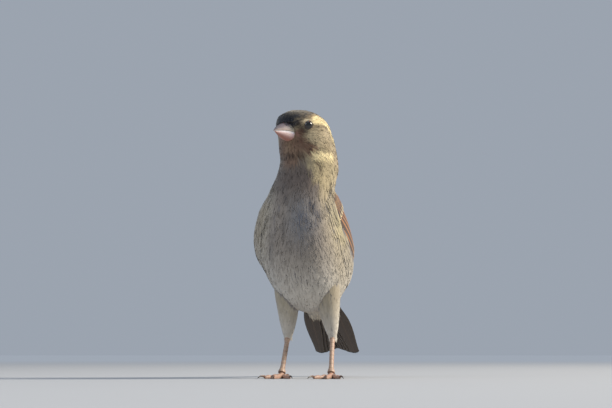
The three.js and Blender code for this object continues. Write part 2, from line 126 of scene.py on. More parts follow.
# The section at a station: its middle, its axes, its reaches and its taper. Stations past the
# cheeks climb a superellipse, rise = sin^(2/p) and shrink = cos^(2/p), up to the crown.
def sectionAt(station):
    onSpine = np.minimum(station, cheek)
    climb = np.radians(90 * np.clip(station - cheek, 0, 1))
    rise = np.sin(climb) ** (2 / head["domePower"])
    shrink = np.clip(np.cos(climb), 0, 1) ** (2 / head["domePower"])
    columns = np.moveaxis(through(sections, onSpine), -1, 0)
    forward, height, pitch, belly, back, side, aside, lead, taper = columns
    turn = np.radians(head["turn"] * smooth(onSpine, head["twistFrom"], head["twistTo"]))
    ahead = vec(-np.sin(turn), -np.cos(turn), 0)
    left = vec(np.cos(turn), -np.sin(turn), 0)
    slope = np.radians(pitch)[..., None]
    down = ahead * np.sin(slope) - np.array([0, 0, 1]) * np.cos(slope)
    middle = vec(aside, -forward, height + head["domeHeight"] * rise)
    middle = middle + ahead * (lead + head["domeLead"] * rise)[..., None]
    return middle, down, left, belly * shrink, back * shrink, side * shrink, taper


# A point on the body: angle 0 is the middle of the belly, 90 the bird's left and 180 the back,
# and offset stands out from the outline.
def bodyPoint(station, angle, offset=0.0):
    station, angle, offset = np.broadcast_arrays(station, angle, offset)
    middle, down, left, belly, back, side, taper = sectionAt(np.asarray(station, float))
    c, s = cosSin(angle)
    deep = (np.where(c > 0, belly, back) + offset) * c
    wide = (side * (1 - taper * np.maximum(c, 0)) + offset) * s
    return middle + down * deep[..., None] + left * wide[..., None]


# The outward normal of the body, from how it changes along the spine and round the section.
def bodyNormal(station, angle):
    along = bodyPoint(station + 0.02, angle) - bodyPoint(station - 0.02, angle)
    around = bodyPoint(station, angle + 0.5) - bodyPoint(station, angle - 0.5)
    return unit(np.cross(around, along))


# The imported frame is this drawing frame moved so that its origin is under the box's middle.
eyeDrawn = bodyPoint(cheek + eye["climb"], eye["angle"], -eye["sunk"])
eyeLow, eyeHigh = (np.array(corner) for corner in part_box("eye_left"))
shift = (eyeLow + eyeHigh) / 2 / mm - eyeDrawn


def toFrame(points):
    return (np.asarray(points) + shift) * mm


# The head's own axes, and places on it: ahead, to its left, and height.
headMiddle, _, headLeft, _, _, _, _ = sectionAt(np.array(float(cheek)))
headAhead = np.array([-math.sin(math.radians(head["turn"])), -math.cos(math.radians(head["turn"])), 0])


def headPoint(ahead, left, height):
    flat = headMiddle * np.array([1, 1, 0]) + vec(ahead, ahead, ahead) * headAhead
    return flat + vec(left, left, left) * headLeft + vec(0, 0, height)


def headPlace(points):
    away = points - headMiddle
    return away @ headAhead, away @ headLeft, points[..., 2]


# How far along the folded wing a station is, and the angles of its lower and upper edge there.
def wingAlong(station):
    return (wing["bend"] - station) / (wing["bend"] - wing["tip"])


def wingEdges(along):
    return np.interp(along, wing["along"], wing["low"]), np.interp(along, wing["along"], wing["high"])


# How far inside the folded wing's outline a place is, in millimetres, negative outside it.
def insideWing(station, angle):
    along = wingAlong(station)
    low, high = wingEdges(along)
    perDegree = 0.3 * smooth(station, 0, 6) + 0.12
    turned = np.abs(angle)
    sides = np.minimum(turned - low, high - turned) * perDegree
    return np.minimum(sides, np.minimum(along * 30, (1 - along) * 70))


# The folded wing's bulk over the body: thin at its edges and full in its middle.
def wingBulk(station, angle):
    return wing["bulk"] * smooth(insideWing(station, angle), -0.8, 4.5)


# Adds an object with this mesh, light or camera to the scene.
def addObject(name, data):
    made = bpy.data.objects.new(name, data)
    bpy.context.scene.collection.objects.link(made)
    return made


# Makes an object from points in the drawing frame and groups of faces. Colours and vectors are
# point attributes, and places is the bake map, one place for each point.
def makePiece(name, points, faceGroups, finish, colours=None, vectors=None, places=None, sharp=60,
              normals=None):
    mesh = bpy.data.meshes.new(name)
    points = toFrame(points.reshape(-1, 3))
    loops = np.concatenate([faces.ravel() for faces in faceGroups]).astype(np.int32)
    sizes = np.concatenate([np.full(len(faces), faces.shape[1]) for faces in faceGroups])
    starts = np.concatenate([[0], np.cumsum(sizes)[:-1]]).astype(np.int32)
    mesh.vertices.add(len(points))
    mesh.vertices.foreach_set("co", points.astype(np.float32).ravel())
    mesh.loops.add(len(loops))
    mesh.loops.foreach_set("vertex_index", loops)
    mesh.polygons.add(len(sizes))
    mesh.polygons.foreach_set("loop_start", starts)
    mesh.polygons.foreach_set("use_smooth", np.ones(len(sizes), bool))
    mesh.update(calc_edges=True)
    for key, values in (colours or {}).items():
        layer = mesh.color_attributes.new(key, "FLOAT_COLOR", "POINT")
        values = values.reshape(-1, 3)
        rgba = np.concatenate([values, np.ones((len(values), 1))], axis=1)
        layer.data.foreach_set("color", rgba.astype(np.float32).ravel())
    for key, values in (vectors or {}).items():
        layer = mesh.attributes.new(key, "FLOAT_VECTOR", "POINT")
        layer.data.foreach_set("vector", values.reshape(-1, 3).astype(np.float32).ravel())
    if places is not None:
        layer = mesh.uv_layers.new(name="OFBake")
        layer.uv.foreach_set("vector", places.reshape(-1, 2)[loops].astype(np.float32).ravel())
    if normals is None:
        mesh.set_sharp_from_angle(angle=math.radians(sharp))
    else:
        mesh.normals_split_custom_set_from_vertices(normals.reshape(-1, 3))
    piece = addObject(name, mesh)
    mesh.materials.append(finish)
    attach(piece, "root")
    return piece


# The faces of a tube of rings closed by a point at each end: rings x around points, then the two
# end points.
def tubeFaces(rings, around):
    r, k = crossed(np.arange(rings - 1), np.arange(around))
    nextK = (k + 1) % around
    quads = np.stack([r * around + k, r * around + nextK, (r + 1) * around + nextK, (r + 1) * around + k], -1)
    k = np.arange(around)
    nextK = (k + 1) % around
    start = np.stack([np.full(around, rings * around), nextK, k], -1)
    last = (rings - 1) * around
    end = np.stack([np.full(around, rings * around + 1), last + k, last + nextK], -1)
    return [quads.reshape(-1, 4), np.concatenate([start, end])]


# A tube along a path: each ring is path + wide cos(t) side + deep sin(t) over, with its own sizes.
def tubePoints(path, side, over, wide, deep, around):
    t = np.arange(around) * 2 * np.pi / around
    ring = side[:, None] * (wide * np.cos(t))[..., None] + over[:, None] * (deep * np.sin(t))[..., None]
    return np.concatenate([(path[:, None] + ring).reshape(-1, 3), path[:1], path[-1:]])


class Wire:
    # One socket of a node tree, with arithmetic that adds Math nodes.
    def __init__(self, tree, socket):
        self.tree = tree
        self.socket = socket

    def math(self, operation, *others):
        values = dict(enumerate([self, *others]))
        return self.tree.node("ShaderNodeMath", {"operation": operation}, values)[0]

    def __add__(self, other):
        return self.math("ADD", other)

    def __sub__(self, other):
        return self.math("SUBTRACT", other)

    def __rsub__(self, other):
        return (self * -1) + other

    def __mul__(self, other):
        return self.math("MULTIPLY", other)

    def __abs__(self):
        return self.math("ABSOLUTE")

    # A soft step from 0 at low to 1 at high; low may be the larger one.
    def step(self, low, high):
        settings = {"interpolation_type": "SMOOTHSTEP"}
        flip = low > high
        inputs = {"Value": self, "From Min": min(low, high), "From Max": max(low, high)}
        inputs.update({"To Min": 1.0 if flip else 0.0, "To Max": 0.0 if flip else 1.0})
        return self.tree.node("ShaderNodeMapRange", settings, inputs)["Result"]


class Outputs:
    def __init__(self, tree, node):
        self.tree = tree
        self.node = node

    def __getitem__(self, key):
        return Wire(self.tree, self.node.outputs[key])


class Finish:
    # A material whose Principled shader's plain numbers are set from settings.
    def __init__(self, name, **settings):
        self.material = bpy.data.materials.new(name)
        self.material.use_nodes = True
        self.nodes = self.material.node_tree.nodes
        self.links = self.material.node_tree.links
        self.shader = self.nodes["Principled BSDF"]
        for key, value in settings.items():
            self.shader.inputs[key.replace("_", " ")].default_value = value

    # Any node: its settings come first, then the values or links of its sockets.
    def node(self, kind, settings=None, inputs=None):
        made = self.nodes.new(kind)
        for key, value in (settings or {}).items():
            setattr(made, key, value)
        for key, value in (inputs or {}).items():
            if isinstance(value, Wire):
                self.links.new(value.socket, made.inputs[key])
            else:
                made.inputs[key].default_value = value
        return Outputs(self, made)

    def attribute(self, name):
        return self.node("ShaderNodeAttribute", {"attribute_name": name})

    def parts(self, vector):
        made = self.node("ShaderNodeSeparateXYZ", inputs={"Vector": vector})
        return made["X"], made["Y"], made["Z"]

    def place(self):
        return self.node("ShaderNodeTexCoord")["Object"]

    def noise(self, scale, detail=2.0, roughness=0.5):
        inputs = {"Vector": self.place(), "Scale": scale, "Detail": detail, "Roughness": roughness}
        return self.node("ShaderNodeTexNoise", inputs=inputs)["Fac"]

    # Mixes two colours, each a wire or three numbers.
    def blend(self, factor, a, b, kind="MIX"):
        made = self.nodes.new("ShaderNodeMix")
        made.data_type = "RGBA"
        made.blend_type = kind
        for index, value in ((0, factor), (6, a), (7, b)):
            if isinstance(value, Wire):
                self.links.new(value.socket, made.inputs[index])
            else:
                made.inputs[index].default_value = value if index == 0 else (*value, 1)
        return Wire(self, made.outputs[2])

    def bump(self, height, distance, strength=1.0):
        inputs = {"Height": height, "Distance": distance, "Strength": strength}
        return self.node("ShaderNodeBump", inputs=inputs)["Normal"]

    def feed(self, **wires):
        for key, wire in wires.items():
            self.links.new(wire.socket, self.shader.inputs[key.replace("_", " ")])
        return self.material


# An sRGB colour, 0 to 255, as linear numbers.
def paint(r, g, b):
    c = np.array([r, g, b]) / 255
    return np.where(c <= 0.04045, c / 12.92, ((c + 0.055) / 1.055) ** 2.4)


# The finish of every feather. The point attributes are centre and edging, the colours of the
# vane's middle and of its edge; vane, which is across (-1 to 1), along (0 to 1) and the share of
# the half width that the edging takes; and barb, which is across and along in mm and a chance value.
# pitch is the barbs' spacing in mm, slant their angle to the shaft in degrees, under the root's colour
# up to underTo along the vane, barbDepth how dark the lines between the barbs are, and shaft how
# strong the shaft's line is.
def featherFinish(name, pitch, slant, under, underTo, barbDepth, shaft, roughness, sheen):
    finish = Finish(name, Roughness=roughness, Sheen_Weight=sheen, Sheen_Roughness=0.5,
                    Specular_IOR_Level=0.25)
    across, along, edge = finish.parts(finish.attribute("vane")["Vector"])
    acrossMm, alongMm, chance = finish.parts(finish.attribute("barb")["Vector"])
    spread = abs(across)
    waver = finish.noise(1100.0, 2.0) * 1.6
    turn = 2 * math.pi / pitch
    fine = math.sin(math.radians(slant)) * turn
    steep = math.cos(math.radians(slant)) * turn
    phase = alongMm * fine - abs(acrossMm) * steep + chance * 20 + waver
    barbs = phase.math("SINE") * 0.5 + 0.5
    clump = finish.noise(420.0, 3.0, 0.6)
    reach = spread + (clump - 0.5) * 0.25 + barbs * 0.06
    mask = (reach - (1 - edge)).step(-0.06, 0.08)
    colour = finish.blend(mask, finish.attribute("centre")["Color"], finish.attribute("edging")["Color"])
    if shaft:
        colour = finish.blend(spread.step(0.07, 0.02) * shaft, colour, paint(96, 74, 56))
    root = (along + (clump - 0.5) * 0.2).step(underTo, underTo - 0.3)
    colour = finish.blend(root, colour, paint(*under))
    shade = 1 - barbs * barbDepth - (clump - 0.5) * 0.35
    channels = {"Red": shade, "Green": shade, "Blue": shade}
    grey = finish.node("ShaderNodeCombineColor", inputs=channels)["Color"]
    colour = finish.blend(1.0, colour, grey, "MULTIPLY")
    height = barbs * 0.6 + clump
    if shaft:
        height = height + spread.step(0.09, 0.0) * shaft
    return finish.feed(Base_Color=colour, Normal=finish.bump(height, 0.0001, 0.4))


print("helpers ready")


# The body's outline with the folded wings' bulk on it, as one fine grid from the tail to the crown.
drapeRings, drapeAround = 301, 144
ringStations = np.linspace(0, 14.985, drapeRings)
ringAngles = np.arange(drapeAround) * 360 / drapeAround
gridStation, gridAngle = crossed(ringStations, ringAngles)
signedAngle = (gridAngle + 180) % 360 - 180
drape = bodyPoint(gridStation, gridAngle, wingBulk(gridStation, signedAngle))
ends = np.stack([drape[0].mean(0), drape[-1].mean(0) + [0, 0, 0.05]])
drapePoints = np.concatenate([drape.reshape(-1, 3), ends])
drapeFaces = [face for faces in tubeFaces(drapeRings, drapeAround) for face in faces.tolist()]
drapeTree = BVHTree.FromPolygons(drapePoints.tolist(), drapeFaces)
around = np.roll(drape, -1, 1) - np.roll(drape, 1, 1)
along = np.gradient(drape, axis=0)
drapeNormal = unit(np.cross(around, along))
for _ in range(3):
    drapeNormal = drapeNormal + np.roll(drapeNormal, 1, 1) + np.roll(drapeNormal, -1, 1)
    drapeNormal[1:-1] = drapeNormal[1:-1] + drapeNormal[:-2] + drapeNormal[2:]
    drapeNormal = unit(drapeNormal)
tailward = unit(-along)
cells = (drapeRings - 1) * drapeAround


# The nearest places on the draped surface: points, normals, the tailward direction, station, angle.
def settle(points):
    hits = [drapeTree.find_nearest(p) for p in points.tolist()]
    where = np.array([hit[0] for hit in hits])
    cell = np.minimum(np.array([hit[2] for hit in hits]), cells - 1)
    row, column = cell // drapeAround, cell % drapeAround
    normal = unit(drapeNormal[row, column] + drapeNormal[row + 1, (column + 1) % drapeAround])
    station = (ringStations[row] + ringStations[row + 1]) / 2
    angle = (ringAngles[column] + 180 / drapeAround + 180) % 360 - 180
    return where, normal, tailward[row, column], station, angle


# Colours of the plumage and of painted light and shade, as red, green and blue from 0 to 255.
# The bluish greys and the dark bluish spots are painted shade, the pale yellowish band colour is
# painted sunlight, and the colours of the lores and of the throat's dark smudges are partly painted shadow.
tones = {
    "slate": (22, 25, 34), "crown": (52, 44, 38), "crownEdge": (80, 66, 53), "brow": (230, 210, 160),
    "rust": (120, 84, 54), "loreAndShadow": (58, 47, 40), "stripe": (104, 86, 64), "ear": (162, 146, 117),
    "earPale": (178, 163, 134), "moustache": (146, 108, 94), "throat": (126, 98, 78),
    "smudgeAndShadow": (56, 40, 29), "malar": (94, 66, 52), "jaw": (112, 86, 70), "eyeRing": (206, 190, 160),
    "neck": (234, 215, 166), "neckSide": (182, 166, 130), "nape": (150, 130, 102),
    "upperBreast": (102, 91, 84), "breast": (140, 130, 120), "flank": (166, 154, 132),
    "cream": (208, 194, 150), "spot": (34, 38, 50), "belly": (202, 195, 183), "vent": (206, 190, 158),
    "ventCentre": (128, 108, 86), "gap": (62, 68, 84), "cool": (112, 118, 128), "mantle": (50, 38, 30),
    "mantleEdge": (186, 152, 106), "mantlePale": (150, 126, 96), "scapular": (172, 126, 84),
    "rump": (132, 116, 94), "rumpEdge": (158, 142, 116),
}
tones = {name: paint(*rgb) for name, rgb in tones.items()}


# Mixes towards a colour by a weight for each place.
def towards(colour, target, weight):
    return mix(colour, target, np.asarray(weight)[..., None])


# A hump: 1 at the middle and 0 at reach away, smooth.
def hump(x, middle, reach):
    return 1 - smooth(np.abs(x - middle), 0, reach)


billRoot = headPoint(9.5, 0, 112.5)
eyeStation = cheek + eye["climb"]
eyeMiddles = np.array([bodyPoint(eyeStation, side * eye["angle"], -eye["sunk"]) for side in (1, -1)])
eyeAxes = np.array([bodyNormal(np.array(eyeStation), side * eye["angle"]) for side in (1, -1)])


# The distance of places from a line through a few points.
def lineDistance(places, line):
    line = np.array(line, float)
    best = np.linalg.norm(places - line[0], axis=-1)
    for a, b in zip(line[:-1], line[1:]):
        t = np.clip(((places - a) @ (b - a)) / ((b - a) @ (b - a)), 0, 1)[:, None]
        best = np.minimum(best, np.linalg.norm(places - mix(a, b, t), axis=-1))
    return best


# Marks on the head, the same on both sides: colour, a line through points (ahead, aside, height),
# radius, softness, weight, and how patchy it is, from 0 for even to 1 for gone between its patches.
headMarks = (
    ("crown", ((9, 0, 119.5), (2, 0, 122), (-7, 0, 121.5), (-12, 0, 117)), 8.6, 1.6, 0.9, 0.2),
    ("crown", ((8.4, 6.4, 118.6), (5.6, 8.5, 118.8), (3.0, 9.3, 119.3)), 1.7, 1.0, 0.85, 0.4),
    ("brow", ((1.9, 11.2, 117.0), (0, 11.6, 116.8), (-5, 11.2, 115.4), (-8, 10.8, 112.4), (-9, 11.2, 109)),
     2.5, 1.0, 1.0, 0.0),
    ("rust", ((4.6, 9.8, 117.6), (2.4, 9.8, 119.2), (-3, 9.6, 119)), 0.6, 0.6, 0.6, 0.5),
    ("stripe", ((5, 11, 113.4), (0, 12.7, 113.7), (-3, 12.6, 113.4)), 0.5, 0.6, 0.8, 0.0),
    ("earPale", ((3.5, 11.5, 109.5), (-1, 13.2, 109)), 3.0, 2.4, 0.5, 0.0),
    ("throat", ((9.2, 0, 106), (9, 0, 101.5)), 7.2, 2.4, 0.85, 0.1),
    ("slate", ((12, 0, 116), (11.2, 3.2, 116), (9.9, 5.0, 116.4)), 3.0, 1.2, 1.0, 0.0),
    ("slate", ((11, 0, 118.8), (8.8, 4.2, 119.4)), 2.2, 1.5, 0.95, 0.5),
    ("slate", ((8.5, 5.8, 118.8), (6.5, 7.2, 119.5)), 1.5, 1.0, 0.9, 0.9),
    ("ear", ((9.4, 6.2, 117.0), (8.6, 7.2, 115.6)), 0.9, 0.6, 0.55, 0.8),
    # The lores' dark mark runs on below the eye, where it is a painted shadow.
    ("loreAndShadow", ((8.9, 7.0, 115.0), (8.1, 7.9, 112.8), (7.0, 8.8, 111.4)), 1.3, 0.8, 0.85, 0.3),
    ("loreAndShadow", ((8.1, 7.9, 112.4), (8.2, 7.2, 110.4)), 1.0, 0.8, 0.8, 0.3),
    ("ear", ((10.2, 5.0, 117.2), (9.8, 5.8, 115.2), (9.5, 6.2, 113.2)), 0.7, 0.5, 0.6, 0.5),
    ("jaw", ((8.2, 4.6, 104.8), (6.6, 7.8, 102.6), (4.6, 10.2, 101.8)), 2.6, 1.6, 0.85, 0.2),
    ("malar", ((8.4, 6.8, 110.4), (7.6, 7.6, 106.6), (5.2, 9.9, 103.6), (3.8, 11.0, 102.8)),
     2.1, 1.3, 0.9, 0.25),
    ("moustache", ((9.2, 5.8, 110.2), (8.8, 6.1, 108.6)), 0.8, 0.6, 0.8, 0.3),
    ("earPale", ((7.6, 7.6, 108.3),), 0.5, 0.4, 0.7, 0.0),
    # Across the lower throat this dark mark is partly a painted shadow of the fold under the head; the marks
    # on the neck's side are dusky feathers.
    ("smudgeAndShadow", ((8.6, 0, 99.2), (8.4, 3.4, 98.8), (7, 6.8, 99)), 1.4, 1.2, 0.9, 0.45),
    ("neck", ((2.4, 12.0, 99.4), (0, 13.2, 99.4), (-4, 13.8, 99.2)), 2.2, 1.3, 0.8, 0.0),
    ("smudgeAndShadow", ((3.1, 11.3, 96.6), (1.6, 12.3, 94.6), (0.8, 12.9, 92.4)), 0.9, 0.7, 0.8, 0.35),
    ("smudgeAndShadow", ((-3.4, 13.9, 101.4),), 0.6, 0.4, 0.7, 0.0),
)


# Bluish dark spots on the breast and neck, partly dusky marks and partly painted shade in the gaps between
# feather clumps: station, angle to the bird's left, reach along, reach round, weight.
breastSpotsAndShade = (
    (8.62, 30, 0.34, 11, 0.9), (8.2, 42, 0.3, 11, 0.75), (9.37, -26, 0.24, 10, 0.85),
    (8.97, -19, 0.24, 9, 0.6),
    (8.37, 55, 0.24, 8, 0.55), (9.02, 69, 0.22, 7, 0.75), (8.75, 73, 0.2, 6, 0.7), (7.87, -16, 0.6, 5, 0.45),
    (7.12, -36, 0.5, 5, 0.5), (7.37, 26, 0.6, 5, 0.45),
)


# The coat's colours at places on the body: the vane's centre, its edging, and the share of the half
# width that the edging takes. chance is one number from 0 to 1 for each feather.
def plumage(points, station, angle, chance):
    turned = np.abs(angle)
    ahead, left, height = headPlace(points)
    bearing = np.abs(np.degrees(np.arctan2(left, ahead - 3)))
    front = 1 - smooth(turned, 78, 104)
    full = np.ones(len(points))[:, None]

    # Back and mantle: black streaks in rows down the back.
    rows = np.abs(((turned + 3 + 6 * (chance - 0.5)) % 21) - 10.5) / 10.5
    streak = smooth(rows, 0.42, 0.56) * smooth(station, 5.6, 6.4) * (1 - smooth(station, 9.3, 10.1))
    back = towards(tones["rump"] * full, tones["nape"], smooth(station, 9.2, 10.4))
    back = towards(back, tones["mantlePale"], smooth(station, 5.4, 6.6) * (1 - smooth(station, 9, 10)))
    scapular = hump(turned, 122, 32) * smooth(station, 6.4, 7.2) * (1 - smooth(station, 8.8, 9.6))
    streak = streak * (1 - scapular * (chance > 0.3))
    back = towards(back, tones["mantle"], streak)
    back = towards(back, tones["scapular"], np.minimum(scapular * 1.3, 0.9))
    backEdge = towards(tones["rumpEdge"] * full, tones["mantleEdge"], smooth(station, 5.2, 6.4))
    backEdge = towards(backEdge, tones["nape"] * 1.15, smooth(station, 9.2, 10.4))
    backShare = mix(0.35, 0.42, chance)

    # Breast and belly: grey-buff above, whitish below, with painted bluish shade where dusky down shows
    # between the feathers.
    frontColour = towards(tones["belly"] * full, tones["breast"], smooth(station, 5.2, 7.6))
    frontColour = towards(frontColour, tones["flank"], smooth(turned, 34, 62) * 0.8)
    upper = smooth(station, 8.2, 9.8) * (1 - smooth(turned, 60, 90))
    frontColour = towards(frontColour, tones["upperBreast"], upper)
    # The pale side of the neck and breast is partly painted light: its edge follows where the light falls,
    # and on the bird's right side, which is in shade, it starts 58 degrees further back.
    side = np.interp(station, (8, 8.5, 9, 9.4, 9.9, 10.5, 11), (54, 46, 41, 36, 27, 19, 24))
    side = side + np.where(angle > 0, 2, 60) + 14 * (chance - 0.5)
    paleAndLitSide = smooth(station, 8, 9.6) * smooth(turned, side - 7, side + 11)
    frontColour = towards(frontColour, tones["neckSide"], paleAndLitSide * 0.85)
    undertail = 1 - smooth(station, 4, 4.8)
    frontColour = towards(frontColour, tones["ventCentre"], undertail * 0.8)
    frontEdge = towards(frontColour * 1.06, tones["vent"], undertail)
    # Painted shade: a few feathers are darkened bluish in the breast's gaps, and a painted shadow lies on the
    # upper breast.
    gap = smooth(station, 5.4, 6.6) * (1 - smooth(station, 8.6, 9.4)) * (1 - smooth(turned, 20, 56))
    # Painted bluish shade over the middle of the breast, which lies in the shade.
    cool = hump(station, 8.2, 1.4) * hump(angle, 14, 40)
    frontColour = towards(frontColour, tones["cool"], cool * 0.75)
    shadow = hump(station, 8.4, 0.9) * hump(angle, 30, 30)
    dark = np.maximum(gap * (chance > 0.9) * 0.6, shadow * (chance > 0.5) * 0.8)
    frontColour = towards(frontColour, tones["gap"], dark)
    # Painted sunlight: a pale buff stripe on the bird's left flank only, where the light falls.
    litBand = hump(station, 7.5, 1.3) * hump(angle, 72, 20)
    frontColour = towards(frontColour, tones["cream"], litBand * 0.8)
    # The bluish dark spots are partly painted shade in the gaps between feather clumps.
    for middle, turn, tall, wide, weight in breastSpotsAndShade:
        share = hump(station, middle, tall) * hump(angle, turn, wide) * weight
        frontColour = towards(frontColour, tones["spot"], share * mix(0.8, 1.2, chance))

    centre = mix(back, frontColour, front[:, None])
    edging = mix(backEdge, frontEdge, front[:, None])
    edge = mix(backShare, mix(0.34, 0.5, undertail), front)

    # Head: a ground colour, then its marks one over another.
    onHead = smooth(station + 0.8 * (chance - 0.5), 10.3, 12.1)
    ground = towards(tones["ear"] * full, tones["nape"], smooth(bearing, 134, 156))
    centre = mix(centre, ground, onHead[:, None])
    edging = mix(edging, ground * 1.12, onHead[:, None])
    edge = mix(edge, 0.3, onHead)
    places = vec(ahead, np.abs(left), height)
    # Patches of about a millimetre, from two crossed waves whose rows wander with the height.
    wave = np.sin(2.6 * ahead + 1.7 * np.sin(1.9 * height))
    wave = wave * np.sin(2.9 * left + 1.3 * np.sin(2.3 * height + 1))
    patchy = wave + 0.8 * (chance - 0.5) > 0
    for tone, line, radius, soft, weight, mottle in headMarks:
        share = 1 - smooth(lineDistance(places, line), radius - soft, radius + soft)
        share = share * weight * mix(1, patchy, mottle)
        centre = towards(centre, tones[tone], share)
        edging = towards(edging, tones.get(tone + "Edge", tones[tone] * 1.12), share)
    out = points - eyeMiddles[np.where(left > 0, 0, 1)]
    axis = eyeAxes[np.where(left > 0, 0, 1)]
    ring = np.linalg.norm(out - dot(out, axis) * axis, axis=-1)
    upper = smooth(out[:, 2] - 0.5 * (out @ headAhead), -1.0, 1.2)
    rim = hump(ring, 2.5, 0.9) * upper * (ahead > 0) * (np.abs(left) > 5)
    centre = towards(centre, tones["eyeRing"], rim * 0.85)
    edging = towards(edging, tones["eyeRing"], rim * 0.85)
    shade = 1 + 0.16 * (chance - 0.5)[:, None]
    return np.clip(centre * shade, 0, 0.95), np.clip(edging * shade, 0, 0.95), edge


print("plumage ready")


# The closed lens of one vane: a top grid and a bottom grid that share their rim.
def vaneGrid(rows, columns):
    top = np.arange((rows + 1) * (columns + 1)).reshape(rows + 1, columns + 1)
    bottom = top.copy()
    inner = np.arange((rows - 1) * (columns - 1)).reshape(rows - 1, columns - 1)
    bottom[1:-1, 1:-1] = top.size + inner
    quads = [
        np.stack([g[:-1, :-1], g[:-1, 1:], g[1:, 1:], g[1:, :-1]], -1).reshape(-1, 4) for g in (top, bottom)
    ]
    faces = np.concatenate([quads[0], quads[1][:, ::-1]])
    t, v = crossed(np.linspace(0, 1, rows + 1), np.linspace(-1, 1, columns + 1))
    t = 1 - (1 - t) ** 1.25
    column = np.broadcast_to(np.arange(columns + 1), top.shape)
    t, v, column = (np.concatenate([g.ravel(), g[1:-1, 1:-1].ravel()]) for g in (t, v, column))
    side = np.concatenate([np.ones(top.size), -np.ones(inner.size)])
    rim = (t == 0) | (t == 1) | (np.abs(v) == 1)
    return faces, t, v, np.where(rim, 0, side), side, column


# Feathers along paths, one path and its normals for each. A point of a vane stands at
# path(u) + side * half width * width(t) * v + normal * height, where t runs from the root to the tip,
# u is t pulled back towards the vane's corners and between its barbs, width(t) opens from the root,
# swells and narrows to the tip, and height is the sunken root, the raised tip, the camber across,
# the tilt, and half the vane's thickness up or down. Shading normals lean to the path's own.
def featherPoints(path, normals, shape, rows, columns):
    faces, t, v, lensSide, side, column = vaneGrid(rows, columns)
    count, steps = path.shape[:2]
    get = {key: np.broadcast_to(value, count)[:, None] for key, value in shape.items()}
    comb = luck.uniform(0, 1, (count, columns + 1)) * np.where(np.arange(columns + 1) % 2 == 1, 0.25, 1)
    comb[:, 0] = comb[:, -1] = 0.5
    pull = get["round"] * np.abs(v) ** 2.2 * t**3 + get["fringe"] * comb[:, column] * t**5
    u = np.clip(t * (1 - pull), 0, 1)
    at = u * (steps - 1)
    i = np.clip(at.astype(int), 0, steps - 2)
    w = (at - i)[..., None]
    who = np.arange(count)[:, None]
    centre = mix(path[who, i], path[who, i + 1], w)
    normal = unit(mix(normals[who, i], normals[who, i + 1], w))
    run = np.gradient(path, axis=1)
    tangent = unit(mix(run[who, i], run[who, i + 1], w))
    across = unit(np.cross(tangent, normal))
    width = mix(get["base"], 1, smooth(t, 0, 0.4)) * mix(1, get["tip"], smooth(t, 0.45, 1.0))
    out = get["half"] * width * v
    bow = get["bow"] * get["half"] * np.sin(np.pi * t)
    lens = get["thick"] * 0.5 * lensSide * np.sqrt(np.clip(1 - v * v, 0, 1)) * (1 - 0.5 * t)
    rise = -get["depth"] * (1 - t) ** 1.5 + get["lift"] * t**2 - get["camber"] * np.abs(out) * np.abs(v)
    rise = rise + get["tilt"] * v * smooth(t, 0, 0.3) + lens
    points = centre + across * (out + bow)[..., None] + normal * rise[..., None]
    shading = unit(normal * np.where(side > 0, 1, -1)[:, None] + across * (v * 0.16)[:, None])
    return points, faces, np.broadcast_to(t, u.shape), np.broadcast_to(v, u.shape), out, shading


# One object of feathers. paints are the centre, edging and tip colours of each feather, edge its
# share of edging, which fills the whole width from tipFrom to the tip, and patch says where each
# feather's bake patch starts and how large it is.
def featherPiece(name, finish, path, normals, shape, paints, edge, chance, patch, grid, tipFrom=0.84):
    points, faces, t, v, out, shading = featherPoints(path, normals, shape, *grid)
    count, each = t.shape
    faces = (faces[None] + np.arange(count)[:, None, None] * each).reshape(-1, 4)
    length = np.linalg.norm(np.diff(path, axis=1), axis=-1).sum(1)[:, None]
    edge, chance = (np.broadcast_to(np.asarray(values)[:, None], t.shape) for values in (edge, chance))
    edge = mix(edge, 1.1, smooth(t, tipFrom, 1.04))
    atTip = smooth(t, tipFrom - 0.15, tipFrom + 0.1)[..., None]
    colours = {
        "centre": np.broadcast_to(paints[0][:, None], (count, each, 3)),
        "edging": mix(paints[1][:, None], paints[-1][:, None], atTip),
    }
    vectors = {"vane": vec(v, t, edge), "barb": vec(out, t * length, chance)}
    start, size = patch
    places = start[:, None] + size * vec(v * 0.5 + 0.5, t)
    return makePiece(name, points, [faces], finish, colours, vectors, places, normals=shading)


# Walks feathers over the draped surface from their roots: each step goes on in the lie of the coat,
# which is away from the bill on the face and tailward behind it, and keeps clear of the eyes.
steps = 5


def lieOf(points, normal, tail):
    away = points - billRoot
    share = smooth(np.linalg.norm(away, axis=-1), 12, 23)[:, None]
    flow = mix(unit(away), tail, share)
    return unit(flow - normal * dot(flow, normal))


def clearOfEyes(points):
    for middle, axis in zip(eyeMiddles, eyeAxes):
        out = points - middle
        outward = out @ axis
        aside = out - outward[:, None] * axis
        distance = np.linalg.norm(aside, axis=-1)
        near = (distance < eye["clear"]) & (outward > 0) & (outward < 5)
        push = np.where(near, eye["clear"] - distance, 0)[:, None]
        points = points + unit(aside) * push
    return points


def walk(roots, length, yaw):
    where, normal, tail, station, angle = settle(roots)
    paths, normals, places = [where], [normal], [(station, angle)]
    for _ in range(steps):
        flow = lieOf(where, normal, tail)
        flow = flow * np.cos(yaw)[:, None] + np.cross(normal, flow) * np.sin(yaw)[:, None]
        ahead = clearOfEyes(where + flow * (length / steps)[:, None])
        where, normal, tail, station, angle = settle(ahead)
        paths.append(where)
        normals.append(normal)
        places.append((station, angle))
    return np.stack(paths, 1), np.stack(normals, 1), places


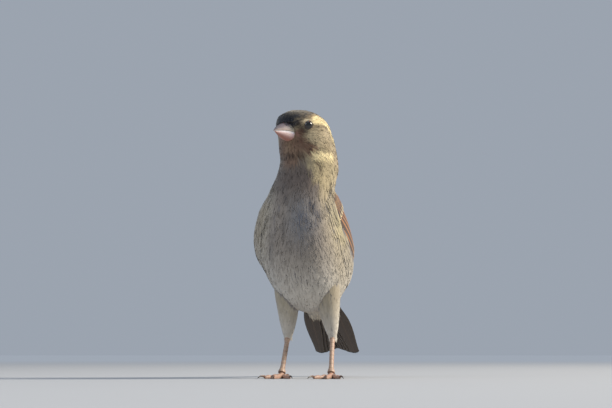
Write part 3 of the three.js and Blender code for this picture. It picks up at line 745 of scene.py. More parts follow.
# What the coat is like along the spine, for the front and for the back: spacing, length, half width.
# The last three are for the feathers round the bill.
coat = {
    "station": (2.7, 4, 5, 6, 7, 8, 9, 10, 11, 12, 13, 14),
    "frontSpacing": (1.2, 1.1, 1.02, 0.95, 0.9, 0.85, 0.8, 0.75, 0.7, 0.66, 0.62, 0.6),
    "frontLength": (12, 12, 12, 11.5, 10.5, 9.5, 8.2, 7, 6, 5, 4.2, 3.6),
    "frontHalf": (0.8, 0.7, 0.6, 0.54, 0.5, 0.46, 0.42, 0.38, 0.34, 0.31, 0.28, 0.26),
    "backSpacing": (1.5, 1.4, 1.35, 1.45, 1.6, 1.55, 1.2, 0.9, 0.78, 0.7, 0.64, 0.6),
    "backLength": (14, 13, 11.5, 10.5, 10, 9.5, 8.5, 7.4, 6.2, 5.2, 4.6, 4.2),
    "backHalf": (1.5, 1.3, 1.2, 1.6, 2.0, 1.9, 1.2, 0.62, 0.44, 0.36, 0.3, 0.27),
    "billSpacing": 0.46, "billLength": 2.1, "billHalf": 0.19,
}


# Spacing, length and half width of the coat at places: the values for front and back, mixed over the
# flanks, then shrunk towards the bill.
def coatSizes(points, station, angle):
    front = 1 - smooth(np.abs(angle), 88, 112)
    read = lambda key: np.interp(station, coat["station"], coat[key])
    spacing, length, half = (
        mix(read("back" + key), read("front" + key), front) for key in ("Spacing", "Length", "Half")
    )
    near = 1 - smooth(np.linalg.norm(points - billRoot, axis=-1), 4, 13)
    near = near * smooth(station, 11.6, 12.6)
    spacing = mix(spacing, coat["billSpacing"], near)
    return spacing, mix(length, coat["billLength"], near), mix(half, coat["billHalf"], near), front


# Keeps places in their order, and drops those that are nearer to a kept one than its spacing.
def thin(points, spacing):
    tree = KDTree(len(points))
    for index, point in enumerate(points.tolist()):
        tree.insert(point, index)
    tree.balance()
    free = np.ones(len(points), bool)
    kept = []
    for index in range(len(points)):
        if free[index]:
            kept.append(index)
            for _, other, _ in tree.find_range(points[index].tolist(), spacing[index]):
                free[other] = False
    return kept


# The angle up to which the flank's feathers cover the wing's lower edge, more on the bird's right.
def flankEdge(station, angle):
    low = wingEdges(wingAlong(station))[0]
    return low + np.where(angle > 0, 8 * smooth(station, 5, 6.4), 27 * smooth(station, 4.5, 6))


# Seeded places on the body, denser where the feathers are small, thinned until no two are closer
# than the coat's spacing there. None grows from the bill, an eye or under a wing.
def scatterRoots(tries):
    station = luck.uniform(2.75, 14.97, tries)
    angle = luck.uniform(-180, 180, tries)
    points = bodyPoint(station, angle)
    ds = np.linalg.norm(bodyPoint(station + 0.01, angle) - points, axis=-1) / 0.01
    da = np.linalg.norm(bodyPoint(station, angle + 0.5) - points, axis=-1) / 0.5
    spacing = coatSizes(points, station, angle)[0]
    weight = ds * da / spacing**2
    keep = luck.uniform(0, 1, tries) < weight / np.quantile(weight, 0.98)
    inside = insideWing(station, angle)
    turned = np.abs(angle)
    underWing = (inside > np.where(turned > 118, 3.2, 0.6)) & (turned > flankEdge(station, angle))
    ahead, left, height = headPlace(points)
    inBill = (ahead > 10) & (np.abs(left) < 4.2) & (np.abs(height - 111) < 4.0)
    out = points[:, None] - eyeMiddles
    outward = np.einsum("nkj,kj->nk", out, eyeAxes)
    aside = np.linalg.norm(out - outward[..., None] * eyeAxes, axis=-1)
    inEye = ((aside < eye["clear"]) & (outward > 0)).any(1)
    keep = keep & ~underWing & ~inBill & ~inEye
    station, angle, points, spacing = station[keep], angle[keep], points[keep], spacing[keep]
    kept = thin(points, spacing * 0.74)
    return station[kept], angle[kept], points[kept]


rootStation, rootAngle, roots = scatterRoots(1900000)
print("roots", len(roots))
spacing, length, half, front = coatSizes(roots, rootStation, rootAngle)
count = len(roots)
length = length * luck.uniform(0.8, 1.2, count)
half = half * luck.uniform(0.75, 1.5, count)
paths, normals, places = walk(roots, length, luck.normal(0, 0.09, count))

# Feathers that would lie far over the wing from its bend are left out.
endStation, endAngle = places[-1]
reach = insideWing(endStation, endAngle)
clear = (reach < np.where(endAngle > 0, 1.2, 4)) | (np.abs(endAngle) < flankEdge(endStation, endAngle))
clear = clear | ((np.abs(endAngle) > 118) & (reach < 4.5))
rootStation, rootAngle, roots, paths, normals = (
    values[clear] for values in (rootStation, rootAngle, roots, paths, normals)
)
spacing, length, half, front = (values[clear] for values in (spacing, length, half, front))
count = len(roots)

# Soft feathers hold together in locks: each follows its nearest leader, drawn to it towards the tip.
leaders = np.array(thin(roots, spacing * 3.6))
leadTree = KDTree(len(leaders))
for index, leader in enumerate(leaders):
    leadTree.insert(roots[leader].tolist(), index)
leadTree.balance()
lock = np.array([leadTree.find(point)[1] for point in roots.tolist()])
leader = leaders[lock]
run = np.linspace(0, 1, steps + 1)[:, None]
own = paths - paths[:, :1]
led = paths[leader] - paths[leader][:, :1]
grip = 0.4 * front * smooth(rootStation, 3.5, 5) * (1 - 0.6 * smooth(rootStation, 11, 12.5))
gap = (roots[leader] - roots)[:, None]
drawn = paths[:, :1] + mix(own, led, 0.6 * grip[:, None, None]) + gap * (grip[:, None, None] * run**1.6)
flat = settle(drawn.reshape(-1, 3))
paths, normals = flat[0].reshape(paths.shape), flat[1].reshape(paths.shape)
raised = mix(0.9, 0.35, smooth(np.abs(flat[4]), 100, 120)) * smooth(insideWing(flat[3], flat[4]), -4.0, -0.3)
ahead, left, height = headPlace(flat[0])
raised = raised + 0.9 * smooth(ahead, 6, 10) * smooth(height, 112.5, 115) * (1 - smooth(height, 118, 121))
raised = raised + 0.9 * hump(flat[3], 10.3, 1.1) * hump(flat[4], 92, 34)
paths = paths + normals * raised.reshape(count, -1, 1)

chance = luck.uniform(0, 1, count)
lockChance = luck.uniform(0, 1, len(leaders))[lock]
seenAt = (flat[3].reshape(count, -1)[:, 4], flat[4].reshape(count, -1)[:, 4])
mixed = np.where(rootStation > 10.5, chance, mix(chance, lockChance, 0.8 * front))
centreColour, edgeColour, edgeShare = plumage(paths[:, 4], seenAt[0], seenAt[1], mixed)
onFace = 1 - smooth(np.linalg.norm(roots - billRoot, axis=-1), 5, 18)
shape = {
    "half": half, "thick": mix(0.08, 0.05, onFace), "depth": mix(0.27, 0.17, onFace),
    "lift": mix(0.09, 0.03, onFace) * luck.uniform(-1, 0.3, count) + 0.05 * (lockChance - 0.5) * front,
    "camber": mix(0.1, 0.16, np.maximum(front, onFace)), "round": mix(0.2, 0.06, front),
    "tip": mix(0.5, 0.2, front), "base": 0.4,
    "fringe": mix(0.14, 0.24, front) * luck.uniform(0.5, 1, count), "bow": luck.normal(0, 0.15, count),
    "tilt": luck.normal(0, 0.05, count),
}
bodyFinish = featherFinish("soft body feathers", pitch=0.3, slant=14, under=(124, 119, 117), underTo=0.45,
                           barbDepth=0.12, shaft=0.0, roughness=0.85, sheen=0.4)
backFinish = featherFinish("back feathers", pitch=0.34, slant=40, under=(70, 68, 70), underTo=0.4,
                           barbDepth=0.2, shaft=0.35, roughness=0.75, sheen=0.25)
headFinish = featherFinish("head feathers", pitch=0.24, slant=14, under=(112, 102, 90), underTo=0.25,
                           barbDepth=0.12, shaft=0.0, roughness=0.85, sheen=0.35)
# The coat's pieces: from and up to which station, on which face of the body, the slot, the finish, and
# the rows and columns of a vane.
faces = {"front": front > 0.5, "back": front <= 0.5, "both": front >= 0}
regions = {
    "coat_face": (13.4, 15, "both", "crown_feathers", headFinish, (4, 2)),
    "coat_cheeks": (11.6, 13.4, "both", "crown_feathers", headFinish, (4, 2)),
    "coat_neck": (9.6, 11.6, "both", "throat_feathers", headFinish, (5, 2)),
    "coat_breast": (7.4, 9.6, "front", "body_feathers", bodyFinish, (6, 2)),
    "coat_belly": (5, 7.4, "front", "body_feathers", bodyFinish, (6, 2)),
    "coat_vent": (0, 5, "front", "body_feathers", bodyFinish, (6, 3)),
    "coat_mantle": (6, 9.6, "back", "body_feathers", backFinish, (7, 6)),
    "coat_rump": (0, 6, "back", "body_feathers", backFinish, (7, 4)),
}
patchSize = 0.003
for name, (low, high, face, slot, finish, grid) in regions.items():
    mask = (rootStation > low) & (rootStation <= high) & faces[face]
    mine = {key: np.broadcast_to(value, count)[mask] for key, value in shape.items()}
    start = np.stack([rootAngle[mask] % 360, rootStation[mask]], -1)
    start = (start - start.min(0)) / np.ptp(start, axis=0) * 0.996
    made = featherPiece(name, finish, paths[mask], normals[mask], mine,
                        (centreColour[mask], edgeColour[mask]), edgeShare[mask], chance[mask],
                        (start, patchSize), grid)
    print(name, mask.sum(), "feathers", len(made.data.polygons) * 2, "triangles")


# The joints' places are forward, aside and height. The rest is in millimetres too, apart from
# shankScales and pads, which say how many a shank and a toe have.
legs = {
    "foot": (-6.5, 11.6, 2.6), "heel": (-15.2, 10.6, 19.8), "knee": (-7, 8.6, 47),
    "shankWide": 1.05, "shankDeep": 1.35, "knob": 1.5, "heelRadius": 2.1, "kneeRadius": 8.2,
    "shankScales": 9, "toeScale": 1.5, "pads": 2.5, "clawTip": 0.3,
}
# Each toe's turn outwards in degrees, then its length, radius and claw in millimetres.
toes = {
    "inner": (32, 10.8, 1.05, 4.2), "middle": (2, 14.2, 1.15, 4.8),
    "outer": (-30, 11.6, 1.0, 4.0), "hind": (182, 8.0, 1.2, 6.0),
}


# A place given as forward, aside and height, on the side whose sign is given.
def legPlace(key, sign):
    forward, aside, height = legs[key]
    return np.array([sign * aside, -forward, height])


# A point on a thigh: heel + share of the way to the knee, plus a radius that widens as share^0.75,
# times the cosine across and the sine along the depth.
def thighSurface(sign, share, turn, offset):
    start, end = legPlace("heel", sign), legPlace("knee", sign)
    axis = unit(end - start)
    across = unit(np.array([1, 0, 0]) - axis * axis[0])
    deep = np.cross(axis, across)
    radius = mix(legs["heelRadius"], legs["kneeRadius"], share**0.75) + offset
    c, s = cosSin(turn)
    middle = start + (end - start) * share[..., None]
    return middle + across * (radius * 0.92 * c)[..., None] + deep * (radius * 1.05 * s)[..., None]


# Feathers on the thighs lie from the knee to the heel. Those that would start inside the belly are
# left out.
def thighCoat(sign, word):
    tries = 5000
    share, turn = luck.uniform(0.03, 1, tries), luck.uniform(0, 360, tries)
    keep = luck.uniform(0, 1, tries) < mix(0.35, 1, share)
    share, turn = share[keep], turn[keep]
    roots = thighSurface(sign, share, turn, 0.0)
    where, normal = settle(roots)[:2]
    outside = np.sum((roots - where) * normal, -1) > -0.8
    share, turn, roots = share[outside], turn[outside], roots[outside]
    kept = thin(roots, mix(0.62, 1.0, share))
    share, turn = share[kept], turn[kept]
    count = len(kept)
    u = np.linspace(0, 1, steps + 1)
    span = np.linalg.norm(legPlace("knee", sign) - legPlace("heel", sign))
    length = mix(4, 8, share) * luck.uniform(0.8, 1.2, count)
    way = share[:, None] - u * (length / span)[:, None]
    turns = turn[:, None] + luck.normal(0, 6, count)[:, None] * u
    paths = thighSurface(sign, np.maximum(way, 0.0), turns, 0.0)
    out = thighSurface(sign, np.maximum(way, 0.0), turns, 1.0)
    normals = unit(out - paths)
    axis = unit(legPlace("heel", sign) - legPlace("knee", sign))
    paths = paths + axis * (np.maximum(-way, 0) * span)[..., None]
    chance = luck.uniform(0, 1, count)
    pale = mix(tones["belly"], tones["flank"], smooth(share, 0, 1)[:, None]) * mix(0.88, 1.0, chance)[:, None]
    shape = {
        "half": mix(0.45, 0.9, share) * luck.uniform(0.8, 1.3, count), "thick": 0.09,
        "depth": mix(0.22, 0.3, share), "lift": 0.08 * luck.uniform(-1, 0.4, count), "camber": 0.16,
        "round": 0.06, "tip": 0.2, "base": 0.4, "fringe": 0.2, "bow": luck.normal(0, 0.15, count),
        "tilt": luck.normal(0, 0.04, count),
    }
    start = np.stack([turn % 360 / 360, (share - share.min()) / np.ptp(share)], -1) * 0.996
    featherPiece("coat_thigh_" + word, bodyFinish, paths, normals, shape, (pale, pale * 1.1),
                 np.full(count, 0.3), chance, (start, patchSize), (5, 3))
    print("coat_thigh_" + word, count, "feathers")


for sign, word in bothSides:
    thighCoat(sign, word)


# The skin lies under the coat by its depth. Body and thighs are joined by a voxel remesh, then the
# colours are read at the joined mesh's own points.
def tubeObject(name, rings, start, end):
    points = toFrame(np.concatenate([rings.reshape(-1, 3), [start], [end]]))
    faces = [face for group in tubeFaces(*rings.shape[:2]) for face in group.tolist()]
    mesh = bpy.data.meshes.new(name)
    mesh.from_pydata(points.tolist(), [], faces)
    return mesh


# Depths under the outline in millimetres, the voxel's size in metres, and the smoothing.
skinPlan = {"depth": 0.32, "headDepth": 0.22, "thighDepth": 0.35, "voxel": 0.0006, "rounds": 6, "relax": 0.5}


def makeSkin():
    rings = np.concatenate([np.linspace(2.6, 14, 120), np.linspace(14.04, 14.97, 30)])
    s, a = crossed(rings, np.arange(96) * 3.75)
    depth = mix(skinPlan["depth"], skinPlan["headDepth"], smooth(s, 9, 12.5))
    body = bodyPoint(s, a, -depth)
    meshes = [tubeObject("body", body, body[0].mean(0), body[-1].mean(0))]
    for sign in (1, -1):
        s, a = crossed(np.linspace(0.0, 1, 30), np.arange(40) * 9.0)
        leg = thighSurface(sign, s, a, -skinPlan["thighDepth"])
        meshes.append(tubeObject("leg", leg, leg[0].mean(0), leg[-1].mean(0)))
    joined = bpy.data.meshes.new("joined")
    points, faces, base = [], [], 0
    for mesh in meshes:
        points += [v.co[:] for v in mesh.vertices]
        faces += [[base + i for i in p.vertices] for p in mesh.polygons]
        base = len(points)
    joined.from_pydata(points, [], faces)
    temp = addObject("joined", joined)
    remesh = temp.modifiers.new("join", "REMESH")
    remesh.mode = "VOXEL"
    remesh.voxel_size = skinPlan["voxel"]
    relax = temp.modifiers.new("relax", "SMOOTH")
    relax.iterations = skinPlan["rounds"]
    relax.factor = skinPlan["relax"]
    made = temp.evaluated_get(bpy.context.evaluated_depsgraph_get()).to_mesh()
    co = np.zeros(len(made.vertices) * 3, np.float32)
    made.vertices.foreach_get("co", co)
    faces = np.zeros(len(made.polygons) * 4, np.int32)
    made.polygons.foreach_get("vertices", faces)
    bpy.data.objects.remove(temp)
    return co.reshape(-1, 3) / mm - shift, faces.reshape(-1, 4)


skinPoints, skinFaces = makeSkin()
_, _, _, skinStation, skinAngle = settle(skinPoints)
skinCentre, _, _ = plumage(skinPoints, skinStation, skinAngle, np.full(len(skinPoints), 0.5))
skinFinish = Finish("skin under the coat", Roughness=0.8, Specular_IOR_Level=0.3)
grain = skinFinish.noise(900.0, 4.0, 0.6)
# The skin takes the coat's colours mixed a little towards grey-brown: the grey down, and painted shade where
# the skin shows between feathers.
down = skinFinish.blend(0.1, skinFinish.attribute("centre")["Color"], paint(84, 76, 72))
down = skinFinish.blend(grain * 0.15, down, paint(84, 76, 70))
skinFinish.feed(Base_Color=down, Normal=skinFinish.bump(grain, 0.0002, 0.6))
skin = makePiece("skin", skinPoints, [skinFaces], skinFinish.material,
                 {"centre": skinCentre})
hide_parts("head", "neck", "trunk", "thigh_left", "thigh_right")
print("skin", len(skinPoints))


# Places along the head's own axis, and each mandible's half width, height and taper.
bill = {
    "base": 8.2, "tip": 19.8, "gape": 110.9, "tipHeight": 111.2, "widthTaper": 1.4, "setback": 0.7,
    "upper": (4.5, 4.5, 1.9), "lower": (4.2, 3.9, 2.3),
    "nostrilAlong": 0.42, "nostrilTurn": 42, "nostrilDeep": 0.5, "hook": 0.45,
}


# One mandible: rings along it whose half width and height narrow as 1 - share^taper. The outer arc
# is pinched towards the ridge and the inner side is a shallow arch.
def mandible(side):
    halfWidth, height, depthTaper = bill["upper"] if side > 0 else bill["lower"]
    tip = bill["tip"] - (0 if side > 0 else bill["setback"])
    share, turn = crossed(1 - (1 - np.linspace(0, 1, 44)[:-1]) ** 1.5, np.arange(40) * 9.0)
    ahead = mix(bill["base"], tip, share)
    edge = mix(bill["gape"], bill["tipHeight"], share) + 0.35 * np.sin(np.pi * share) + side * 0.15
    wide = halfWidth * (1 - share ** bill["widthTaper"])
    tall = height * (1 - share**depthTaper)
    c, s = cosSin(turn)
    outer = s > 0
    pinch = 1 - 0.1 * np.clip(s, 0, 1) ** 3
    left = wide * c * pinch * np.where(outer, 1, 0.96)
    rise = np.where(outer, tall * np.abs(s) ** 0.88, -0.12 * tall * np.abs(s))
    if side > 0:
        # Nostril pits high on the sides near the feathers, and the tip hooks a little over.
        offTop = np.abs(turn - 90) - bill["nostrilTurn"]
        pit = np.exp(-(((share - bill["nostrilAlong"]) / 0.05) ** 2) - (offTop / 10) ** 2)
        rise = rise - bill["nostrilDeep"] * pit * outer
        edge = edge - bill["hook"] * smooth(share, 0.82, 1.0)
    else:
        pit = share * 0
    rings = headPoint(ahead, left * side, edge + side * rise)
    end = headPoint(tip, 0, bill["tipHeight"] + side * 0.15 - (0.4 if side > 0 else 0))
    start = rings[0].mean(0)
    across = np.stack([share, np.clip(s, -1, 1), pit], -1)
    extra = np.array([[0, 0, 0], [1, 0, 0]], float)
    points = np.concatenate([rings.reshape(-1, 3), [start], [end]])
    return points, tubeFaces(*share.shape), np.concatenate([across.reshape(-1, 3), extra])


# Horn whose colour runs from the flank up to the ridge, with a rim along the cutting edge, a root
# near the feathers and painted shade in the nostril pits.
def billFinish(name, ridge, flank, rim, root, rootReach, rootTop):
    finish = Finish(name, Roughness=0.38, Specular_IOR_Level=0.45, Subsurface_Weight=0.05,
                    Subsurface_Scale=0.001, Coat_Roughness=0.3)
    share, height, pit = finish.parts(finish.attribute("bill")["Vector"])
    streaks = finish.noise(300.0, 4.0, 0.6)
    fine = finish.noise(1500.0, 3.0, 0.6)
    onRidge = (height + (streaks - 0.5) * 0.3).step(0.15, 0.95)
    colour = finish.blend(onRidge, paint(*flank), paint(*ridge))
    colour = finish.blend((height + (streaks - 0.5) * 0.2).step(0.35, 0.02), colour, paint(*rim))
    atRoot = (share + (streaks - 0.5) * 0.2).step(rootReach, rootReach - 0.25)
    atRoot = atRoot * height.step(rootTop + 0.2, rootTop - 0.2)
    colour = finish.blend(atRoot, colour, paint(*root))
    # Painted shade in the nostril pits.
    colour = finish.blend(pit.step(0.3, 0.8), colour, paint(40, 30, 28))
    colour = finish.blend((fine - 0.5) * 0.5 + 0.15, colour, paint(96, 76, 70))
    return finish.feed(Base_Color=colour, Normal=finish.bump(fine + streaks * 1.5, 0.00008, 0.5))


# Colours of each mandible's ridge, flank, cutting rim and root, and how far the root's colour reaches
# along the bill and up it.
mandibles = {
    "bill_upper": (1, "upper_bill", billFinish(
        "upper bill horn", ridge=(88, 80, 86), flank=(122, 112, 114), rim=(184, 168, 158),
        root=(176, 166, 142), rootReach=0.42, rootTop=0.6)),
    # On the lower mandible the near-white flank and rim are partly a painted highlight, and the pinker ridge
    # underneath is partly painted shade.
    "bill_lower": (-1, "lower_bill", billFinish(
        "lower bill horn", ridge=(184, 128, 112), flank=(238, 208, 202), rim=(248, 240, 240),
        root=(166, 122, 104), rootReach=0.2, rootTop=2.0)),
}
for name, (side, slot, finish) in mandibles.items():
    points, faces, across = mandible(side)
    made = makePiece(name + "_horn", points, faces, finish, None, {"bill": across}, sharp=50)
    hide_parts(name)
print("bill ready")


# The eye is a black pupil in a very dark brown iris. polar is the angle from the eye's axis.
eyeFinish = Finish("eye", Roughness=0.09, Specular_IOR_Level=0.8)
polar, _, _ = eyeFinish.parts(eyeFinish.attribute("polar")["Vector"])
iris = eyeFinish.blend(polar.step(16, 20), paint(3, 3, 3), paint(20, 13, 9))
eyeFinish.feed(Base_Color=eyeFinish.blend(polar.step(38, 60), iris, paint(20, 14, 12)))
lidFinish = Finish("eyelid skin", Roughness=0.55, Specular_IOR_Level=0.4, Subsurface_Weight=0.1,
                   Subsurface_Scale=0.0005)
folds = lidFinish.noise(2600.0, 3.0, 0.6)
polar, _, _ = lidFinish.parts(lidFinish.attribute("polar")["Vector"])
lidTone = lidFinish.blend(polar.step(40, 56), paint(66, 55, 47), paint(44, 36, 32))
lidTone = lidFinish.blend(folds * 0.6, lidTone, paint(92, 78, 68))
lidFinish.feed(Base_Color=lidTone, Normal=lidFinish.bump(folds, 0.0001, 0.6))


# Points at polar angles and turns round an eye's axis, at a radius from the eye's middle.
def eyeRings(side, polarAngle, turn, radius):
    middle, axis = eyeMiddles[0 if side > 0 else 1], eyeAxes[0 if side > 0 else 1]
    ahead = unit(headAhead - axis * (headAhead @ axis))
    over = np.cross(axis, ahead)
    p, t = np.radians(polarAngle), np.radians(turn)
    ring = ahead * np.cos(t)[..., None] + over * np.sin(t)[..., None]
    return middle + radius[..., None] * (axis * np.cos(p)[..., None] + ring * np.sin(p)[..., None])


# The opening's angle from the eye's axis and how its shape varies, in degrees, then the lids' gap to
# the ball and thickness in millimetres, and their points round the opening and round the section.
lid = {"opening": 35.5, "narrow": 2.5, "notch": 1.5, "gap": 0.04, "thick": 0.09, "around": 56, "section": 18}


# One eye: a ball of rings from its back to its front, and its lids.
def addEye(side, word):
    polarAngle, turn = crossed(np.linspace(180, 0, 40)[1:-1], np.arange(48) * 7.5)
    ball = eyeRings(side, polarAngle, turn, np.full(turn.shape, eye["radius"]))
    poles = eyeRings(side, np.array([180.0, 0.0]), np.zeros(2), np.full(2, eye["radius"]))
    points = np.concatenate([ball.reshape(-1, 3), poles])
    attribute = np.concatenate([vec(polarAngle, 0, 0).reshape(-1, 3), [[180, 0, 0], [0, 0, 0]]])
    made = makePiece("eyeball_" + word, points, tubeFaces(*turn.shape), eyeFinish.material, None,
                     {"polar": attribute})
    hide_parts("eye_" + word)
    # The lids are a ring of skin round the opening, whose section is a closed loop.
    loop, turn = crossed(np.arange(lid["section"]) * 20.0, np.arange(lid["around"]) * 360 / lid["around"])
    opening = lid["opening"] - lid["narrow"] * np.cos(2 * np.radians(turn - 8))
    opening = opening - lid["notch"] * np.exp(-((turn - 188) / 22) ** 2)
    c, s = cosSin(loop)
    spread = (4 + 0.7 * np.sin(np.radians(3 * turn)) + 0.4 * np.sin(np.radians(7 * turn))) * (1 - c)
    thick = lid["thick"] + 0.03 * np.cos(np.radians(3 * loop + 5 * turn))
    radius = eye["radius"] + lid["gap"] + thick * s - 0.008 * spread
    ring = eyeRings(side, opening + spread, turn, radius)
    many = lid["around"]
    k, j = crossed(np.arange(lid["section"]), np.arange(many))
    k2, j2 = (k + 1) % lid["section"], (j + 1) % many
    faces = np.stack([k * many + j, k2 * many + j, k2 * many + j2, k * many + j2], -1).reshape(-1, 4)
    makePiece("eyelids_" + word, ring, [faces], lidFinish.material, None,
              {"polar": vec(opening + spread, 0, 0)})


for side, word in bothSides:
    addEye(side, word)
print("eyes ready")


# A wing feather's middle line runs from (along, share) at its root to the same at its tip, where
# share is 0 at the wing's lower edge and 1 at its upper edge.
def wingLine(sign, start, end, offset):
    u = np.linspace(0, 1, 10)
    place = start[:, None] + (end - start)[:, None] * u[None, :, None]
    along = place[..., 0]
    share = place[..., 1]
    low, high = wingEdges(along)
    station = mix(wing["bend"], wing["tip"], along)
    angle = sign * mix(low, high, share)
    normal = bodyNormal(station, angle)
    rise = 0.15 + np.asarray(offset)[:, None] * wingBulk(station, angle)
    return bodyPoint(station, angle) + normal * rise[..., None], normal


# Groups of wing feathers: how many, root along and share from the lowest to the highest feather, tip
# along and share, lift through the wing's bulk, half widths, and looks. tips is the colour at the tip.
wingGroups = {
    "primaries": {
        "count": 9, "root": ((0.30, 0.04), (0.30, 0.30)), "tip": ((1.0, 0.3), (0.81, 0.56)),
        "lift": (0.0, 0.2), "half": (2.3, 3.2), "tipWidth": 0.34, "round": 0.03, "tilt": 0.22,
        "centre": (50, 39, 32), "edge": (138, 102, 66), "tips": (122, 98, 74),
        "share": 0.16, "tipFrom": 0.97,
    },
    "secondaries": {
        "count": 6, "root": ((0.26, 0.30), (0.28, 0.62)), "tip": ((0.81, 0.42), (0.80, 0.8)),
        "lift": (0.2, 0.32), "half": (3.2, 3.8), "tipWidth": 0.6, "round": 0.06, "tilt": 0.22,
        "centre": (54, 41, 32), "edge": (148, 104, 62), "tips": (150, 120, 84),
        "share": 0.26, "tipFrom": 0.95,
    },
    "tertials": {
        "count": 3, "root": ((0.26, 0.66), (0.24, 0.86)), "tip": ((0.78, 0.68), (0.60, 0.86)),
        "lift": (0.42, 0.52), "half": (4.4, 4.2), "tipWidth": 0.62, "round": 0.08, "tilt": 0.22,
        "centre": (48, 36, 28), "edge": (160, 114, 68), "tips": (182, 146, 100),
        "share": 0.34, "tipFrom": 0.93,
    },
    "primary_coverts": {
        "count": 6, "root": ((0.1, 0.03), (0.12, 0.16)), "tip": ((0.5, 0.05), (0.42, 0.2)),
        "lift": (0.2, 0.3), "half": (1.8, 2.2), "tipWidth": 0.4, "round": 0.06, "tilt": 0.15,
        "centre": (56, 44, 36), "edge": (140, 106, 74), "tips": (130, 104, 78),
        "share": 0.24, "tipFrom": 0.95,
    },
    "greater_coverts": {
        "count": 10, "root": ((0.09, 0.08), (0.08, 0.94)), "tip": ((0.42, 0.16), (0.31, 0.95)),
        "lift": (0.4, 0.58), "half": (2.4, 3.0), "tipWidth": 0.62, "round": 0.08, "tilt": 0.24,
        "centre": (66, 47, 33), "edge": (148, 98, 54), "tips": (172, 130, 84),
        "share": 0.42, "tipFrom": 0.9,
    },
    "median_coverts": {
        "count": 9, "root": ((0.03, 0.05), (0.02, 0.95)), "tip": ((0.17, 0.09), (0.12, 0.97)),
        "lift": (0.55, 0.7), "half": (2.1, 2.5), "tipWidth": 0.72, "round": 0.12, "tilt": 0.2,
        "centre": (54, 40, 31), "edge": (126, 80, 46), "tips": (208, 188, 148),
        "share": 0.3, "tipFrom": 0.84,
    },
}
wingFinish = featherFinish("wing feathers", pitch=0.36, slant=38, under=(70, 64, 62), underTo=0.08,
                           barbDepth=0.2, shaft=0.7, roughness=0.62, sheen=0.15)
covertFinish = featherFinish("covert feathers", pitch=0.34, slant=32, under=(86, 72, 62), underTo=0.1,
                             barbDepth=0.18, shaft=0.3, roughness=0.75, sheen=0.25)


# Adds one group of wing feathers from its middle lines.
def wingPiece(sign, word, group, start, end, lift, half, looks, grid):
    many = len(start)
    path, normals = wingLine(sign, start, end, lift)
    tone = 1 + luck.normal(0, 0.07, many)[:, None]
    paints = [paint(*looks[key]) * tone for key in ("centre", "edge", "tips")]
    shape = {
        "half": half, "thick": 0.24, "depth": 0.25, "lift": 0.08, "camber": 0.06, "round": looks["round"],
        "tip": looks["tipWidth"], "base": 0.4, "fringe": 0.012, "bow": 0.0, "tilt": -sign * looks["tilt"],
    }
    flight = group in ("primaries", "secondaries", "tertials")
    slot, finish = ("flight_feathers", wingFinish) if flight else ("wing_coverts", covertFinish)
    columns = math.ceil(math.sqrt(many * 3))
    cells = np.stack([np.arange(many) % columns, np.arange(many) // columns], -1)
    size = 1 / np.array([columns, cells[:, 1].max() + 1])
    return featherPiece("wing_" + word + "_" + group + "_vanes", finish, path, normals, shape,
                        paints, np.full(many, looks["share"]), luck.uniform(0, 1, many),
                        (cells * size, size * 0.98), grid, looks["tipFrom"])


# Small overlapping coverts in staggered rows over the front of the wing.
lesserCoverts = {
    "rows": 5, "across": 13, "from": 0.0, "to": 0.05, "length": 0.06, "half": (0.9, 1.4), "lift": (0.6, 0.75),
    "centre": (70, 51, 36), "edge": (126, 92, 58), "tips": (150, 114, 74), "share": 0.38, "tipFrom": 0.8,
    "tipWidth": 0.7, "round": 0.14, "tilt": 0.08,
}
stands = {"primaries": "primaries", "secondaries": "secondaries", "greater_coverts": "coverts"}
for sign, word in bothSides:
    for group, plan in wingGroups.items():
        t = np.linspace(0, 1, plan["count"])[:, None]
        start = mix(*np.array(plan["root"]), t)
        end = mix(*np.array(plan["tip"]), t)
        end = end + luck.normal(0, 0.004, end.shape)
        half = mix(*plan["half"], t[:, 0])
        lift = mix(*plan["lift"], t[:, 0])
        made = wingPiece(sign, word, group, start, end, lift, half, plan, (14, 10))
        if group in stands:
            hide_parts("wing_" + word + "_" + stands[group])
    plan = lesserCoverts
    row, place = crossed(np.arange(plan["rows"]), np.arange(plan["across"]))
    row, place = row.ravel(), place.ravel()
    share = (place + 0.5 + 0.5 * (row % 2)) / (plan["across"] + 0.5) + luck.normal(0, 0.015, row.size)
    along = mix(plan["from"], plan["to"], row / (plan["rows"] - 1)) + luck.normal(0, 0.004, row.size)
    start = np.stack([np.clip(along, 0.004, 1), np.clip(share, 0.1, 0.96)], -1)
    end = start + np.array([plan["length"], 0.0]) + luck.normal(0, 0.006, start.shape)
    half = mix(*plan["half"], row / (plan["rows"] - 1))
    lift = mix(*plan["lift"][::-1], row / (plan["rows"] - 1))
    wingPiece(sign, word, "lesser_coverts", start, end, lift, half, plan, (8, 6))
print("wings ready")


# Twelve feathers in a narrow fan, six to a side, in millimetres and degrees.
tail = {"length": 54, "pitch": 28, "halfRoot": 6.8, "halfTip": 11.6, "crown": 1.1, "notch": 3, "corner": 2.6}


